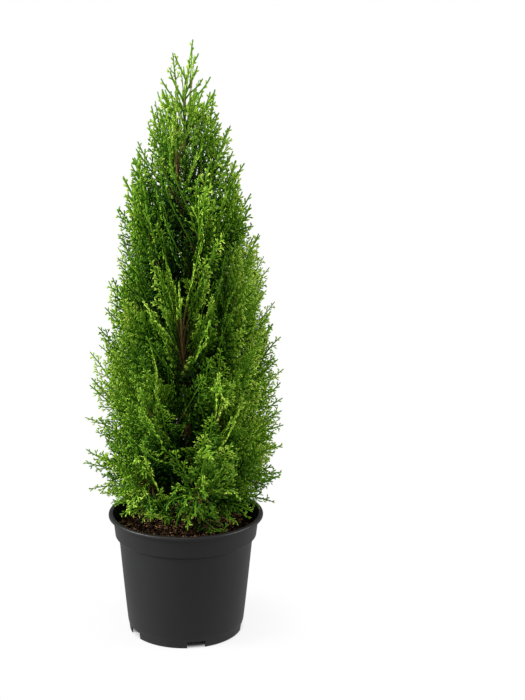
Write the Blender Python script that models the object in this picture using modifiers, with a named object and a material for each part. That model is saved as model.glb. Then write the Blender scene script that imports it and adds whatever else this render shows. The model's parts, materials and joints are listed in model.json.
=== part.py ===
"""Potted thuja: a young, upright evergreen in a round black nursery pot.

Metres, with +Z up. The origin is at the centre of the pot's flat underside, and the front
faces -Y. The trunk stands on the soil and runs whole to the tip. Cones that climb outwards
from the trunk cut the crown into tiers, and upright planes through the axis cut each tier
into equal sectors. One limb grows in each of those cells. In the three widest tiers it is a
bough and then the stem of a foliage mass, and in the others the stem starts at the trunk.
A mass is its stem with toothed blades fused on, each blade one flat spray of the plant.
"""

import math
import random
from collections import namedtuple

import bmesh
import bpy
from mathutils import Matrix, Vector
from mathutils.bvhtree import BVHTree

NAME = "potted_thuja"
CLEAR = 0.0003              # gap between pieces that touch
WELD = 0.00001              # points closer than this are one point
SEED = 41

# The pot: a standard 19 cm nursery pot of 3 litres
POT_HEIGHT = 0.150
POT_WALL = 0.0016
LIP_RADIUS = 0.095
LIP_DROP = 0.0045
BAND_TOP_RADIUS = 0.0895
BAND_FOOT_RADIUS = 0.0870
BAND_FOOT_Z = 0.120
SHOULDER_RADIUS = 0.0822
SHOULDER_Z = 0.116
BASE_RADIUS = 0.0707
BODY_BULGE = 0.9            # below 1 the wall is slightly fuller than a cone
FLOOR_UNDER_Z = 0.0055
FLOOR_TOP_Z = 0.0072
PAD_RADIUS = 0.018
TURN_STEPS = 36
NOTCH_COUNT = 5
NOTCH_WIDTH = 0.022
NOTCH_HEIGHT = 0.0085
NOTCH_INNER_RADIUS = 0.060
NOTCH_OUTER_RADIUS = 0.080
NOTCH_AZIMUTH = math.radians(-80)

# The soil
SOIL_EDGE_Z = 0.1345
SOIL_TOP_Z = 0.1385
SOIL_FLAT_RADIUS = 0.014
MOUND_POWER = 1.5           # above 1 the mound is round on top

# The trunk
TIP_Z = 0.7166
TRUNK_FOOT_Z = SOIL_TOP_Z + CLEAR
TRUNK_RADIUS = 0.0056
TRUNK_TIP_RADIUS = 0.0007
TRUNK_TAPER = 0.9
FLARE = 0.0024
FLARE_HEIGHT = 0.008
TRUNK_SWAY_X = 0.0025
TRUNK_SWAY_Y = 0.0015
TIP_NOD = 0.010             # how far the soft tip leans over to +X
TRUNK_POINTS = 20
FOOT_CROWDING = 1.5         # above 1 the points stand closer together in the flare
TIP_NOD_POWER = 20          # the higher, the nearer to the tip the nod begins
TRUNK_ROUNDNESS = 4         # a bevel of 12 sides

# The crown's outline: widest at the belly, drawn in below it and tapering to the tip
CROWN_RADIUS = 0.125
BELLY_Z = 0.195
TAPER_POWER = 1.5
TAPER_ROUNDING = 0.68
TUCK = 0.62                 # how fast the outline draws in below the belly
OVERREACH = 0.003
CELL_MARGIN = 0.0013        # each mass keeps this far from its cell's walls
LIMB_MARGIN = 0.0008        # blades keep this far from every limb

# Limbs
LIMB_RISE = 1.25            # above 1 a limb leaves the trunk flat and then steepens
LIMB_REACH = 0.95           # a limb's path ends at this share of the outline
BOUGH_SHARE = 0.28          # a bough takes this share of the path
STEM_SHARE = 0.78           # the stem ends here, and its last spray takes the rest
BOUGH_ROOT_RADIUS = 0.0024
BOUGH_TIP_RADIUS = 0.0017
STEM_ROOT_RADIUS = 0.0015
STEM_TIP_RADIUS = 0.0009
BOUGH_POINTS = 6
BOUGH_ROUNDNESS = 1         # a bevel of 6 sides
STEM_POINTS = 6
STEP = 0.02                 # a path's direction is measured over this share to each side

# Sprays: flat toothed blades, some of them at the end of a side twig
BLADE_THICKNESS = 0.0011
BLADE_WIDTH = 0.38          # half width as a share of the length
BLADE_ROOT_HALF = 0.0013
BLADE_SUNK = 0.003          # how deep a blade's root sits in its twig
FULL_BLADE = 0.074          # shorter blades have fewer teeth
TEETH = (3, 2)              # teeth along each edge of a full blade and of a shorter one
TEETH_START = 0.08          # the teeth begin at this share of the length
TEETH_RUN = 0.74            # and their roots take this share of it
TOOTH_LEAN = 1.25           # a tooth's point is this many teeth ahead of its root
TOOTH_LAG = 0.3             # the teeth of one edge are this far ahead of the other's
TOOTH_NARROW = 0.97         # a tooth that reaches past this share of the length stays this wide
TOOTH_ROOT = 0.36           # how far in the blade is cut between teeth, as a share
BLADE_ROUNDING = 0.85
ALONG_SWING = 0.1           # how far a spray may shift along the stem, as a share
ROLL_SWING = 45             # how far it may shift round the stem, in degrees
SPREAD_SWING = 14           # how far it may open or close, in degrees
FACE_SWING = 60             # how far it may turn from the upright plane, in degrees
FIRST_SEAT = 0.03           # sprays sit on the stem from this share of it
SEAT_RUN = 0.94             # and over this share
LAST_SIDE_SEAT = 0.98       # only the stem's own tip spray sits further along
UPRIGHT = 1.5               # how strongly a spray's plane takes the vertical
TOO_STEEP = 0.25            # below this a spray is too steep for that, and takes the limb's plane
WAYS = 12                   # ways to hold a spray that are compared
TRIES = 9                   # sizes tried for each, every one smaller by SHRINK
SHRINK = 0.92
ENOUGH_ROOM = 0.040         # sprays whose middles are this far apart are free of each other
TWIG_SHARE = 0.42           # a side twig's length as a share of its blade's
TWIG_ROOT_RADIUS = 0.0010
TWIG_TIP_RADIUS = 0.0007

GOLDEN = (math.sqrt(5) - 1) / 2
SHARP = math.radians(35)    # edges this sharp stay sharp on the smooth pieces

# Where the sprays of a mass sit: place along the stem, roll round it from the outer side,
# spread away from it, both in degrees, and whether a side twig carries the blade
Seat = namedtuple("Seat", "along roll spread twig")
SEATS = (
    Seat(1.00, 0, 5, False),
    Seat(0.72, 80, 42, True),
    Seat(0.52, -80, 42, True),
    Seat(0.62, 180, 38, False),
    Seat(0.40, 0, 46, False),
    Seat(0.22, 170, 34, False),
    Seat(0.84, 0, 40, False),
    Seat(0.06, -60, 46, False),
    Seat(0.30, 95, 44, False),
    Seat(0.12, 20, 50, False),
)

# Each tier: floor height at the axis, the floor's rise per metre outwards, number of masses,
# heights where limbs leave the trunk and where their paths end, spread of the feet and of
# the ends, whether the limb starts as a bough, sprays on a mass, longest blade, turn of the
# first sector in degrees
Tier = namedtuple(
    "Tier", "name floor slope count foot tip stagger drop bough sprays length turn")
TIERS = (
    Tier("skirt", 0.137, 0.18, 7, 0.161, 0.240, 0.004, 0.030, False, 6, 0.072, -80),
    Tier("low", 0.175, 0.75, 6, 0.206, 0.350, 0.014, 0.040, True, 8, 0.078, -60),
    Tier("mid", 0.245, 1.30, 6, 0.282, 0.465, 0.016, 0.045, True, 9, 0.080, -95),
    Tier("upper", 0.335, 1.90, 5, 0.378, 0.570, 0.018, 0.045, True, 10, 0.080, -70),
    Tier("high", 0.435, 2.40, 4, 0.478, 0.645, 0.018, 0.030, False, 10, 0.074, -110),
    Tier("tip", 0.550, 2.80, 3, 0.590, 0.707, 0.014, 0.012, False, 8, 0.052, -60),
)

Limb = namedtuple("Limb", "tier name azimuth foot tip start reach")

# What a spray grows among: the blade meshes to choose from, the search trees of the limbs,
# and the middles of the sprays there are
Growth = namedtuple("Growth", "blades guards middles")


def clear_scene():
    for thing in list(bpy.data.objects):
        bpy.data.objects.remove(thing)


def make_material(name, colour, roughness):
    material = bpy.data.materials.new(name)
    material.use_nodes = True
    shader = material.node_tree.nodes["Principled BSDF"]
    shader.inputs["Base Color"].default_value = (*colour, 1.0)
    shader.inputs["Roughness"].default_value = roughness
    shader.inputs["Metallic"].default_value = 0.0
    return material


def add_object(name, data, collection, material=None):
    thing = bpy.data.objects.new(name, data)
    collection.objects.link(thing)
    if material is not None:
        data.materials.append(material)
    return thing


def baked_mesh(thing, flat=False):
    """The object's shape with its bevel or fill applied, welded; a flat side is one face."""
    evaluated = thing.evaluated_get(bpy.context.evaluated_depsgraph_get())
    mesh = bpy.data.meshes.new_from_object(evaluated)
    shape = bmesh.new()
    shape.from_mesh(mesh)
    bmesh.ops.remove_doubles(shape, verts=shape.verts, dist=WELD)
    bmesh.ops.recalc_face_normals(shape, faces=shape.faces)
    if flat:
        bmesh.ops.dissolve_limit(
            shape, angle_limit=math.radians(1), verts=shape.verts, edges=shape.edges)
    shape.to_mesh(mesh)
    shape.free()
    return mesh


def turned(name, profile, collection, material):
    """A profile of (radius, height) points that starts and ends on the axis, spun round it."""
    mesh = bpy.data.meshes.new(name)
    edges = [(i, i + 1) for i in range(len(profile) - 1)]
    mesh.from_pydata([(r, 0.0, z) for r, z in profile], edges, [])
    thing = add_object(name, mesh, collection, material)
    spin = thing.modifiers.new("spin", "SCREW")
    spin.steps = TURN_STEPS
    spin.render_steps = TURN_STEPS
    spin.use_merge_vertices = True
    spin.merge_threshold = 0.0001
    return thing


# Pot and soil

def body_radius(z):
    """Outer radius of the pot's body, a cone that is slightly full."""
    share = (max(z, 0.0) / SHOULDER_Z) ** BODY_BULGE
    return BASE_RADIUS + (SHOULDER_RADIUS - BASE_RADIUS) * share


def band_radius(z):
    """Outer radius of the wider band below the lip."""
    share = (z - BAND_FOOT_Z) / (POT_HEIGHT - LIP_DROP - BAND_FOOT_Z)
    return BAND_FOOT_RADIUS + (BAND_TOP_RADIUS - BAND_FOOT_RADIUS) * share


def inner_wall(offset):
    """The inside of the pot's wall, from its floor up to the lip, moved in by offset."""
    inset = POT_WALL + offset
    body = [FLOOR_TOP_Z, SHOULDER_Z / 2, SHOULDER_Z + POT_WALL / 2]
    points = [(body_radius(z) - inset, z) for z in body]
    points.append((BAND_FOOT_RADIUS - inset, BAND_FOOT_Z + POT_WALL / 2))
    return points


def pot_profile():
    """From the axis over the inner floor, up the inside, round the lip and down the outside."""
    lip_z = POT_HEIGHT - LIP_DROP
    under_lip_z = POT_HEIGHT - POT_WALL
    inside = inner_wall(0.0) + [(BAND_TOP_RADIUS - POT_WALL, under_lip_z)]
    lip = [
        (BAND_TOP_RADIUS - POT_WALL / 2, POT_HEIGHT),
        (LIP_RADIUS - POT_WALL / 3, POT_HEIGHT),
        (LIP_RADIUS, under_lip_z),
        (LIP_RADIUS, lip_z),
        (LIP_RADIUS - POT_WALL, lip_z),
        (LIP_RADIUS - POT_WALL, under_lip_z),
        (band_radius(under_lip_z), under_lip_z),
    ]
    band = [(BAND_FOOT_RADIUS, BAND_FOOT_Z)]
    body = [(body_radius(z), z) for z in (SHOULDER_Z, SHOULDER_Z / 2, 0.0)]
    under = [
        (BASE_RADIUS - POT_WALL, 0.0),
        (BASE_RADIUS - POT_WALL, FLOOR_UNDER_Z),
        (PAD_RADIUS, FLOOR_UNDER_Z),
        (PAD_RADIUS, 0.0),
    ]
    return [(0.0, FLOOR_TOP_Z), *inside, *lip, *band, *body, *under, (0.0, 0.0)]


def make_pot(parts, cutters, material):
    """The turned shell, with drainage notches cut through the foot and the floor's edge."""
    pot = turned("pot", pot_profile(), parts, material)
    depth = NOTCH_OUTER_RADIUS - NOTCH_INNER_RADIUS
    middle = (NOTCH_OUTER_RADIUS + NOTCH_INNER_RADIUS) / 2
    for number in range(NOTCH_COUNT):
        azimuth = NOTCH_AZIMUTH + number * math.tau / NOTCH_COUNT
        shape = bmesh.new()
        bmesh.ops.create_cube(shape, size=1.0)
        bmesh.ops.scale(shape, vec=(depth, NOTCH_WIDTH, NOTCH_HEIGHT * 2), verts=shape.verts)
        mesh = bpy.data.meshes.new("notch_cutter")
        shape.to_mesh(mesh)
        shape.free()
        cutter = add_object(f"notch_cutter_{number + 1}", mesh, cutters)
        cutter.location = (middle * math.cos(azimuth), middle * math.sin(azimuth), 0.0)
        cutter.rotation_euler.z = azimuth
        cutter.display_type = "WIRE"
        cutter.hide_render = True
        cut = pot.modifiers.new(f"notch_{number + 1}", "BOOLEAN")
        cut.operation = "DIFFERENCE"
        cut.object = cutter


def make_soil(parts, material):
    """The potting soil: it fills the pot to below the rim and mounds up round the trunk."""
    wall = [point for point in inner_wall(CLEAR) if point[1] < SOIL_EDGE_Z]
    wall[0] = (wall[0][0], FLOOR_TOP_Z + CLEAR)
    edge_radius = band_radius(SOIL_EDGE_Z) - POT_WALL - CLEAR
    bottom = [(edge_radius, SOIL_EDGE_Z), *reversed(wall), (0.0, FLOOR_TOP_Z + CLEAR)]
    mound = []
    for share in (0.0, 0.5):
        radius = SOIL_FLAT_RADIUS + (edge_radius - SOIL_FLAT_RADIUS) * share
        drop = (SOIL_TOP_Z - SOIL_EDGE_Z) * share ** MOUND_POWER
        mound.append((radius, SOIL_TOP_Z - drop))
    turned("soil", [(0.0, SOIL_TOP_Z), *mound, *bottom], parts, material)


# Trunk and the paths of the limbs

def trunk_share(z):
    return (z - TRUNK_FOOT_Z) / (TIP_Z - TRUNK_FOOT_Z)


def trunk_centre(z):
    """A slow sway from side to side, with the soft tip nodding to +X."""
    share = trunk_share(z)
    x = TRUNK_SWAY_X * math.cos(math.pi * share) + TIP_NOD * share ** TIP_NOD_POWER
    y = TRUNK_SWAY_Y * (1 - math.cos(math.tau * share))
    return Vector((x, y, z))


def trunk_radius(z):
    """An even taper, with a root flare that fades a finger's width above the soil."""
    taper = (TRUNK_RADIUS - TRUNK_TIP_RADIUS) * (1 - trunk_share(z)) ** TRUNK_TAPER
    flare = FLARE * math.exp(-(z - TRUNK_FOOT_Z) / FLARE_HEIGHT)
    return TRUNK_TIP_RADIUS + taper + flare


def crown_radius(z):
    """The crown's outline as a radius for each height."""
    if z < BELLY_Z:
        return CROWN_RADIUS - TUCK * (BELLY_Z - z)
    share = min((z - BELLY_Z) / (TIP_Z - BELLY_Z), 1.0)
    return CROWN_RADIUS * (1 - share ** TAPER_POWER) ** TAPER_ROUNDING


def tube(name, points, radii, roundness, collection, material=None):
    """A limb as a bevelled curve through the points, with a radius at each."""
    curve = bpy.data.curves.new(name, "CURVE")
    curve.dimensions = "3D"
    curve.bevel_depth = 1.0
    curve.bevel_resolution = roundness
    curve.use_fill_caps = True
    spline = curve.splines.new("POLY")
    spline.points.add(len(points) - 1)
    for knot, place, radius in zip(spline.points, points, radii):
        knot.co = (*place, 1.0)
        knot.radius = radius
    return add_object(name, curve, collection, material)


def trunk_path():
    """Points closer together in the flare, and the radius at each."""
    heights = []
    for number in range(TRUNK_POINTS):
        share = (number / (TRUNK_POINTS - 1)) ** FOOT_CROWDING
        heights.append(TRUNK_FOOT_Z + (TIP_Z - TRUNK_FOOT_Z) * share)
    return [trunk_centre(z) for z in heights], [trunk_radius(z) for z in heights]


def limb_start(foot, tip, reach, radius):
    """How far from the trunk's middle a path starts, so that its end cap clears the bark."""
    first = BOUGH_SHARE / (BOUGH_POINTS - 1)
    climb = (tip - foot) * first ** LIMB_RISE
    tilt = math.atan2(climb, reach * first)
    return trunk_radius(foot) + CLEAR + radius * math.sin(tilt)


def tier_limbs(tier):
    """One limb for each sector; feet and ends are spread by the golden fraction."""
    limbs = []
    for number in range(tier.count):
        azimuth = math.radians(tier.turn) + number * math.tau / tier.count
        shift = (number * GOLDEN % 1.0) * 2 - 1
        foot = tier.foot + tier.stagger * shift
        tip = tier.tip - tier.drop * ((number + 0.5) * GOLDEN % 1.0)
        reach = LIMB_REACH * crown_radius(tip)
        radius = BOUGH_ROOT_RADIUS if tier.bough else STEM_ROOT_RADIUS
        start = limb_start(foot, tip, reach, radius)
        limbs.append(Limb(tier, f"{tier.name}_{number + 1}", azimuth, foot, tip, start, reach))
    return limbs


def limb_point(limb, share):
    """A point on a limb's path: outwards evenly, and upwards ever steeper."""
    out = limb.start + (limb.reach - limb.start) * share
    z = limb.foot + (limb.tip - limb.foot) * share ** LIMB_RISE
    middle = trunk_centre(limb.foot) * (1 - share)
    return Vector((
        middle.x + out * math.cos(limb.azimuth),
        middle.y + out * math.sin(limb.azimuth),
        z,
    ))


def stem_span(limb):
    """The shares of the path where the mass's stem begins and ends."""
    if not limb.tier.bough:
        return 0.0, STEM_SHARE
    stride = (limb_point(limb, BOUGH_SHARE + STEP) - limb_point(limb, BOUGH_SHARE)).length
    return BOUGH_SHARE + STEP * CLEAR / stride, STEM_SHARE


def path_between(limb, first, last, count, root_radius, tip_radius):
    shares = [first + (last - first) * number / (count - 1) for number in range(count)]
    points = [limb_point(limb, share) for share in shares]
    radii = []
    for number in range(count):
        radii.append(root_radius + (tip_radius - root_radius) * number / (count - 1))
    return points, radii


# Foliage

def blade_outline(teeth):
    """A unit spray: teeth that point forwards along both edges, alternate, and a tip."""
    half_root = BLADE_ROOT_HALF / max(tier.length for tier in TIERS)
    pitch = TEETH_RUN / teeth

    def edge(side, lag):
        points = []
        for tooth in range(teeth):
            valley = TEETH_START + lag + pitch * tooth
            peak = valley + pitch * TOOTH_LEAN
            place = min(peak, TOOTH_NARROW)
            width = BLADE_WIDTH * math.sin(math.pi * place) ** BLADE_ROUNDING
            if tooth > 0:
                points.append((valley, side * width * TOOTH_ROOT))
            points.append((peak, side * width))
        return points

    right = edge(1, 0.0)
    left = edge(-1, pitch * TOOTH_LAG)
    return [(0.0, half_root), *right, (1.0, 0.0), *reversed(left), (0.0, -half_root)]


def make_blade_mesh(teeth, collection):
    """The unit spray as a flat plate, one unit long and already at its real thickness."""
    curve = bpy.data.curves.new("spray_outline", "CURVE")
    curve.dimensions = "2D"
    curve.fill_mode = "BOTH"
    curve.extrude = BLADE_THICKNESS / 2
    outline = blade_outline(teeth)
    spline = curve.splines.new("POLY")
    spline.points.add(len(outline) - 1)
    spline.use_cyclic_u = True
    for knot, (x, y) in zip(spline.points, outline):
        knot.co = (x, y, 0.0, 1.0)
    plate = add_object("spray_outline", curve, collection)
    mesh = baked_mesh(plate, flat=True)
    bpy.data.objects.remove(plate)
    return mesh


def guard_tree(points, radii, roundness, collection):
    """A search tree round one limb, swollen by the margin that blades keep from it."""
    swollen = tube("guard", points, [r + LIMB_MARGIN for r in radii], roundness, collection)
    mesh = baked_mesh(swollen)
    bpy.data.objects.remove(swollen)
    return BVHTree.FromPolygons(
        [v.co for v in mesh.vertices], [p.vertices for p in mesh.polygons])


def in_cell(point, limb, ceiling):
    """Whether a point is in the limb's own cell, clear of its walls, and in the outline."""
    out = math.hypot(point.x, point.y)
    floor = limb.tier.floor + limb.tier.slope * out + CELL_MARGIN * (1 + limb.tier.slope)
    if point.z < floor or out > crown_radius(point.z) + OVERREACH or point.z > TIP_Z:
        return False
    if ceiling is not None:
        if point.z > ceiling.floor + ceiling.slope * out - CELL_MARGIN * (1 + ceiling.slope):
            return False
    turn = math.atan2(point.y, point.x) - limb.azimuth
    turn = (turn + math.pi) % math.tau - math.pi
    room = math.pi / limb.tier.count - abs(turn)
    return out * math.sin(max(min(room, math.pi / 2), -math.pi / 2)) > CELL_MARGIN


def blade_matrix(root, axis, face, length):
    """Places the unit blade: its length along axis, its flat side facing face."""
    across = face.cross(axis).normalized()
    normal = axis.cross(across).normalized()
    turn = Matrix((axis, across, normal)).transposed().to_4x4()
    return Matrix.Translation(root) @ turn @ Matrix.Diagonal((length, length, 1.0, 1.0))


def spray_frame(limb, seat, hand, chance):
    """One way to hold a spray: root on the stem, direction away, axis and face."""
    first, last = stem_span(limb)
    along = seat.along
    if along < 1.0:
        along += chance.uniform(-ALONG_SWING, ALONG_SWING)
        along = min(max(along, 0.0), LAST_SIDE_SEAT)
    share = first + (last - first) * (FIRST_SEAT + SEAT_RUN * along)
    root = limb_point(limb, share)
    ahead = limb_point(limb, share + STEP)
    forward = (ahead - limb_point(limb, share - STEP)).normalized()
    side = Vector((-math.sin(limb.azimuth), math.cos(limb.azimuth), 0.0))
    outward = side.cross(forward).normalized()
    roll = math.radians(seat.roll * hand + chance.uniform(-ROLL_SWING, ROLL_SWING))
    spread = seat.spread + chance.uniform(-SPREAD_SWING, SPREAD_SWING)
    spread = math.radians(max(spread, 0.0))
    sideways = outward * math.cos(roll) + side * math.sin(roll)
    away = (forward * math.cos(spread) + sideways * math.sin(spread)).normalized()
    axis = (away + forward).normalized() if seat.twig else away
    face = axis.cross(forward + Vector((0.0, 0.0, UPRIGHT)))
    if seat.along == 1.0 or face.length < TOO_STEEP:
        face = side
    swing = math.radians(chance.uniform(-FACE_SWING, FACE_SWING))
    face = Matrix.Rotation(swing, 3, axis) @ face
    return root, away, axis, face.normalized()


def make_twig_mesh(root, away, length):
    """A three-sided tapering twig from its root along the direction away."""
    shape = bmesh.new()
    bmesh.ops.create_cone(
        shape, cap_ends=True, segments=3, radius1=TWIG_ROOT_RADIUS, radius2=TWIG_TIP_RADIUS,
        depth=length)
    turn = away.to_track_quat("Z", "Y").to_matrix().to_4x4()
    shape.transform(Matrix.Translation(root + away * length / 2) @ turn)
    mesh = bpy.data.meshes.new("twig")
    shape.to_mesh(mesh)
    shape.free()
    return mesh


def fits(mesh, limb, ceiling, growth):
    """Whether a mesh stays in its limb's cell and off every limb."""
    points = [v.co for v in mesh.vertices]
    if not all(in_cell(point, limb, ceiling) for point in points):
        return False
    tree = BVHTree.FromPolygons(points, [p.vertices for p in mesh.polygons])
    return not any(tree.overlap(guard) for guard in growth.guards)


def held_spray(limb, seat, frame, ceiling, growth):
    """The largest size at which a spray held this way fits: its meshes, middle and length."""
    root, away, axis, face = frame
    length = limb.tier.length
    for _ in range(TRIES):
        blade = growth.blades[length < FULL_BLADE].copy()
        meshes = [blade]
        start = root
        if seat.twig:
            twig_length = length * TWIG_SHARE
            meshes.append(make_twig_mesh(root, away, twig_length))
            start = root + away * (twig_length - BLADE_SUNK)
        blade.transform(blade_matrix(start, axis, face, length))
        if all(fits(mesh, limb, ceiling, growth) for mesh in meshes):
            return meshes, start + axis * (length / 2), length
        length *= SHRINK
    return None


def freest_spray(limb, seat, hand, chance, ceiling, growth):
    """Of several ways to hold a spray, the one that is long and has most room round it."""
    best = []
    best_score = 0.0
    best_middle = None
    for _ in range(WAYS):
        frame = spray_frame(limb, seat, hand, chance)
        held = held_spray(limb, seat, frame, ceiling, growth)
        if held is None:
            continue
        meshes, middle, length = held
        rooms = [(middle - other).length for other in growth.middles]
        score = min(rooms + [ENOUGH_ROOM]) * length
        if score > best_score:
            best, best_score, best_middle = meshes, score, middle
    if best:
        growth.middles.append(best_middle)
    return best


def largest_shell(shape):
    """Removes every shell but the largest: loose scraps, and hollows that fusing sealed."""
    left = set(shape.faces)
    shells = []
    while left:
        search = [left.pop()]
        shell = list(search)
        while search:
            for edge in search.pop().edges:
                for face in edge.link_faces:
                    if face in left:
                        left.discard(face)
                        shell.append(face)
                        search.append(face)
        shells.append(shell)
    shells.sort(key=len)
    scraps = [face for shell in shells[:-1] for face in shell]
    bmesh.ops.delete(shape, geom=scraps, context="FACES")


def cleaned(mesh):
    """Welds and triangulates a joined mesh, drops slivers, and says whether it is closed."""
    shape = bmesh.new()
    shape.from_mesh(mesh)
    bmesh.ops.remove_doubles(shape, verts=shape.verts, dist=WELD)
    bmesh.ops.triangulate(shape, faces=shape.faces)
    bmesh.ops.dissolve_degenerate(shape, dist=WELD, edges=shape.edges)
    bmesh.ops.triangulate(shape, faces=shape.faces)
    largest_shell(shape)
    closed = all(len(edge.link_faces) == 2 for edge in shape.edges)
    solid = closed and shape.calc_volume(signed=True) > 0
    shape.to_mesh(mesh)
    shape.free()
    return solid


def fuse(name, stem, pieces, parts, material):
    """Joins a stem with its twigs and blades by one union, with fewer where that fails."""
    helpers = bpy.data.collections.new(name + "_sprays")
    bpy.context.scene.collection.children.link(helpers)
    for piece in pieces:
        helpers.objects.link(piece)
    body = add_object(name + "_stem", stem, parts)
    join = body.modifiers.new("join", "BOOLEAN")
    join.operation = "UNION"
    join.operand_type = "COLLECTION"
    join.collection = helpers
    mesh = None
    while mesh is None:
        for solver in ("EXACT", "MANIFOLD"):
            join.solver = solver
            bpy.context.view_layer.update()
            evaluated = body.evaluated_get(bpy.context.evaluated_depsgraph_get())
            joined = bpy.data.meshes.new_from_object(evaluated)
            if cleaned(joined):
                mesh = joined
                break
        else:
            bpy.data.objects.remove(helpers.objects[-1])
    for piece in list(helpers.objects):
        bpy.data.objects.remove(piece)
    bpy.data.objects.remove(body)
    bpy.data.collections.remove(helpers)
    mesh.materials.clear()
    add_object(name, mesh, parts, material)


def grow_mass(limb, ceiling, number, growth, parts, material):
    """A stem with the sprays that fit round it."""
    chance = random.Random(SEED + number)
    first, last = stem_span(limb)
    path = path_between(limb, first, last, STEM_POINTS, STEM_ROOT_RADIUS, STEM_TIP_RADIUS)
    rod = tube("stem", *path, 0, parts)
    stem = baked_mesh(rod)
    bpy.data.objects.remove(rod)
    hand = chance.choice((-1, 1))
    pieces = []
    for seat in SEATS[:limb.tier.sprays]:
        for mesh in freest_spray(limb, seat, hand, chance, ceiling, growth):
            pieces.append(bpy.data.objects.new("spray", mesh))
    fuse(f"foliage_{limb.name}", stem, pieces, parts, material)


def make_plant(parts, bark, foliage):
    """The trunk, the boughs, and then the masses that keep clear of both."""
    trunk = trunk_path()
    tube("trunk", *trunk, TRUNK_ROUNDNESS, parts, bark)
    guards = [guard_tree(*trunk, TRUNK_ROUNDNESS, parts)]
    limbs = []
    for level, tier in enumerate(TIERS):
        ceiling = TIERS[level + 1] if level + 1 < len(TIERS) else None
        for limb in tier_limbs(tier):
            limbs.append((limb, ceiling))
            if tier.bough:
                path = path_between(
                    limb, 0.0, BOUGH_SHARE, BOUGH_POINTS, BOUGH_ROOT_RADIUS, BOUGH_TIP_RADIUS)
                tube(f"bough_{limb.name}", *path, BOUGH_ROUNDNESS, parts, bark)
                guards.append(guard_tree(*path, BOUGH_ROUNDNESS, parts))
    growth = Growth([make_blade_mesh(teeth, parts) for teeth in TEETH], guards, [])
    for number, (limb, ceiling) in enumerate(limbs):
        grow_mass(limb, ceiling, number, growth, parts, foliage)


def shade(parts):
    """Round pieces are smooth, with sharp edges kept; the flat sprays stay faceted."""
    for thing in parts.objects:
        if thing.type == "MESH" and not thing.name.startswith("foliage"):
            thing.data.shade_smooth()
            thing.data.set_sharp_from_angle(angle=SHARP)


def main():
    clear_scene()
    parts = bpy.data.collections.new(NAME)
    cutters = bpy.data.collections.new("cutters")
    bpy.context.scene.collection.children.link(parts)
    bpy.context.scene.collection.children.link(cutters)
    plastic = make_material("pot_plastic", (0.022, 0.023, 0.025), 0.5)
    earth = make_material("potting_soil", (0.060, 0.032, 0.020), 0.95)
    bark = make_material("bark", (0.235, 0.125, 0.070), 0.8)
    foliage = make_material("foliage", (0.120, 0.230, 0.035), 0.55)
    make_pot(parts, cutters, plastic)
    make_soil(parts, earth)
    make_plant(parts, bark, foliage)
    shade(parts)


main()
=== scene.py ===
"""Potted thuja: a young, upright evergreen in a round black nursery pot.

Metres, +Z up, with the pot's underside on the floor and the front facing -Y. The limbs follow
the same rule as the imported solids: cones cut the crown into tiers, upright planes cut each tier
into sectors, and one limb grows in each cell. Here every limb carries its share of flat sprays
on bent twigs, more on the lower ones. A spray is a spine with side axes, and each of those
bears small scaly shoots, the longest of which fork once.
"""

import json
import math
from collections import defaultdict, namedtuple

import bmesh
import bpy
import numpy as np
from mathutils import Matrix, Vector

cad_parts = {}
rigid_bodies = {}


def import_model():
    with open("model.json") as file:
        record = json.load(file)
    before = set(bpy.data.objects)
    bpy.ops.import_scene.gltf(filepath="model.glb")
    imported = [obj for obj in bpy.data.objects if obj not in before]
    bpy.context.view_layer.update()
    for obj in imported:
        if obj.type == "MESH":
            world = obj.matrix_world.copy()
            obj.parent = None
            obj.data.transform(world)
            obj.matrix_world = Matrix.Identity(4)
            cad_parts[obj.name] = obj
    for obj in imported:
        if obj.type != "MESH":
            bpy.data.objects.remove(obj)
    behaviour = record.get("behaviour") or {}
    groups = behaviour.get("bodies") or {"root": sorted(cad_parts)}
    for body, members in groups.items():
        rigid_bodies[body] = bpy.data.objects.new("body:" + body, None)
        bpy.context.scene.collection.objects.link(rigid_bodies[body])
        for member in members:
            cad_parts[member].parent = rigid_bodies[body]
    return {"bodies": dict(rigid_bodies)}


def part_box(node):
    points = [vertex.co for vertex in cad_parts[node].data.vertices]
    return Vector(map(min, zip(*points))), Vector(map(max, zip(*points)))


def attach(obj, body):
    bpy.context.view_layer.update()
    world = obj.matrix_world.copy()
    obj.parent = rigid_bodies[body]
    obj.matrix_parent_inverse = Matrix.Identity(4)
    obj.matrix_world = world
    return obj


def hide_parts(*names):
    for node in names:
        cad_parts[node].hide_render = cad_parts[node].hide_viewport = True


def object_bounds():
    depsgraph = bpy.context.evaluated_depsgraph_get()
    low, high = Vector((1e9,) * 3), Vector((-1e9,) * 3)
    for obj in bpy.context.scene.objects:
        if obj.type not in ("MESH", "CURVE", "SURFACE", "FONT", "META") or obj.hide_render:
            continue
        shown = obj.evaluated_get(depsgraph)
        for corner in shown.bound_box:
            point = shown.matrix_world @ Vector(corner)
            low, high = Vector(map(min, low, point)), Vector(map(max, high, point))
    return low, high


bl_info = {
    "name": "Potted Thuja",
    "version": (1, 0, 0),
    "blender": (4, 5, 0),
    "location": "3D View > Sidebar > Potted Thuja",
    "description": "Grows a young thuja from its limbs and dresses its soil and nursery pot",
    "category": "Add Mesh",
}

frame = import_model()
FRAME_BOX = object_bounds()
BODY = next(iter(frame["bodies"]))
TAU = math.tau
GOLDEN = (math.sqrt(5.0) - 1.0) / 2.0
SEED = 41
FOLIAGE_SEED = 1086

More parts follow.
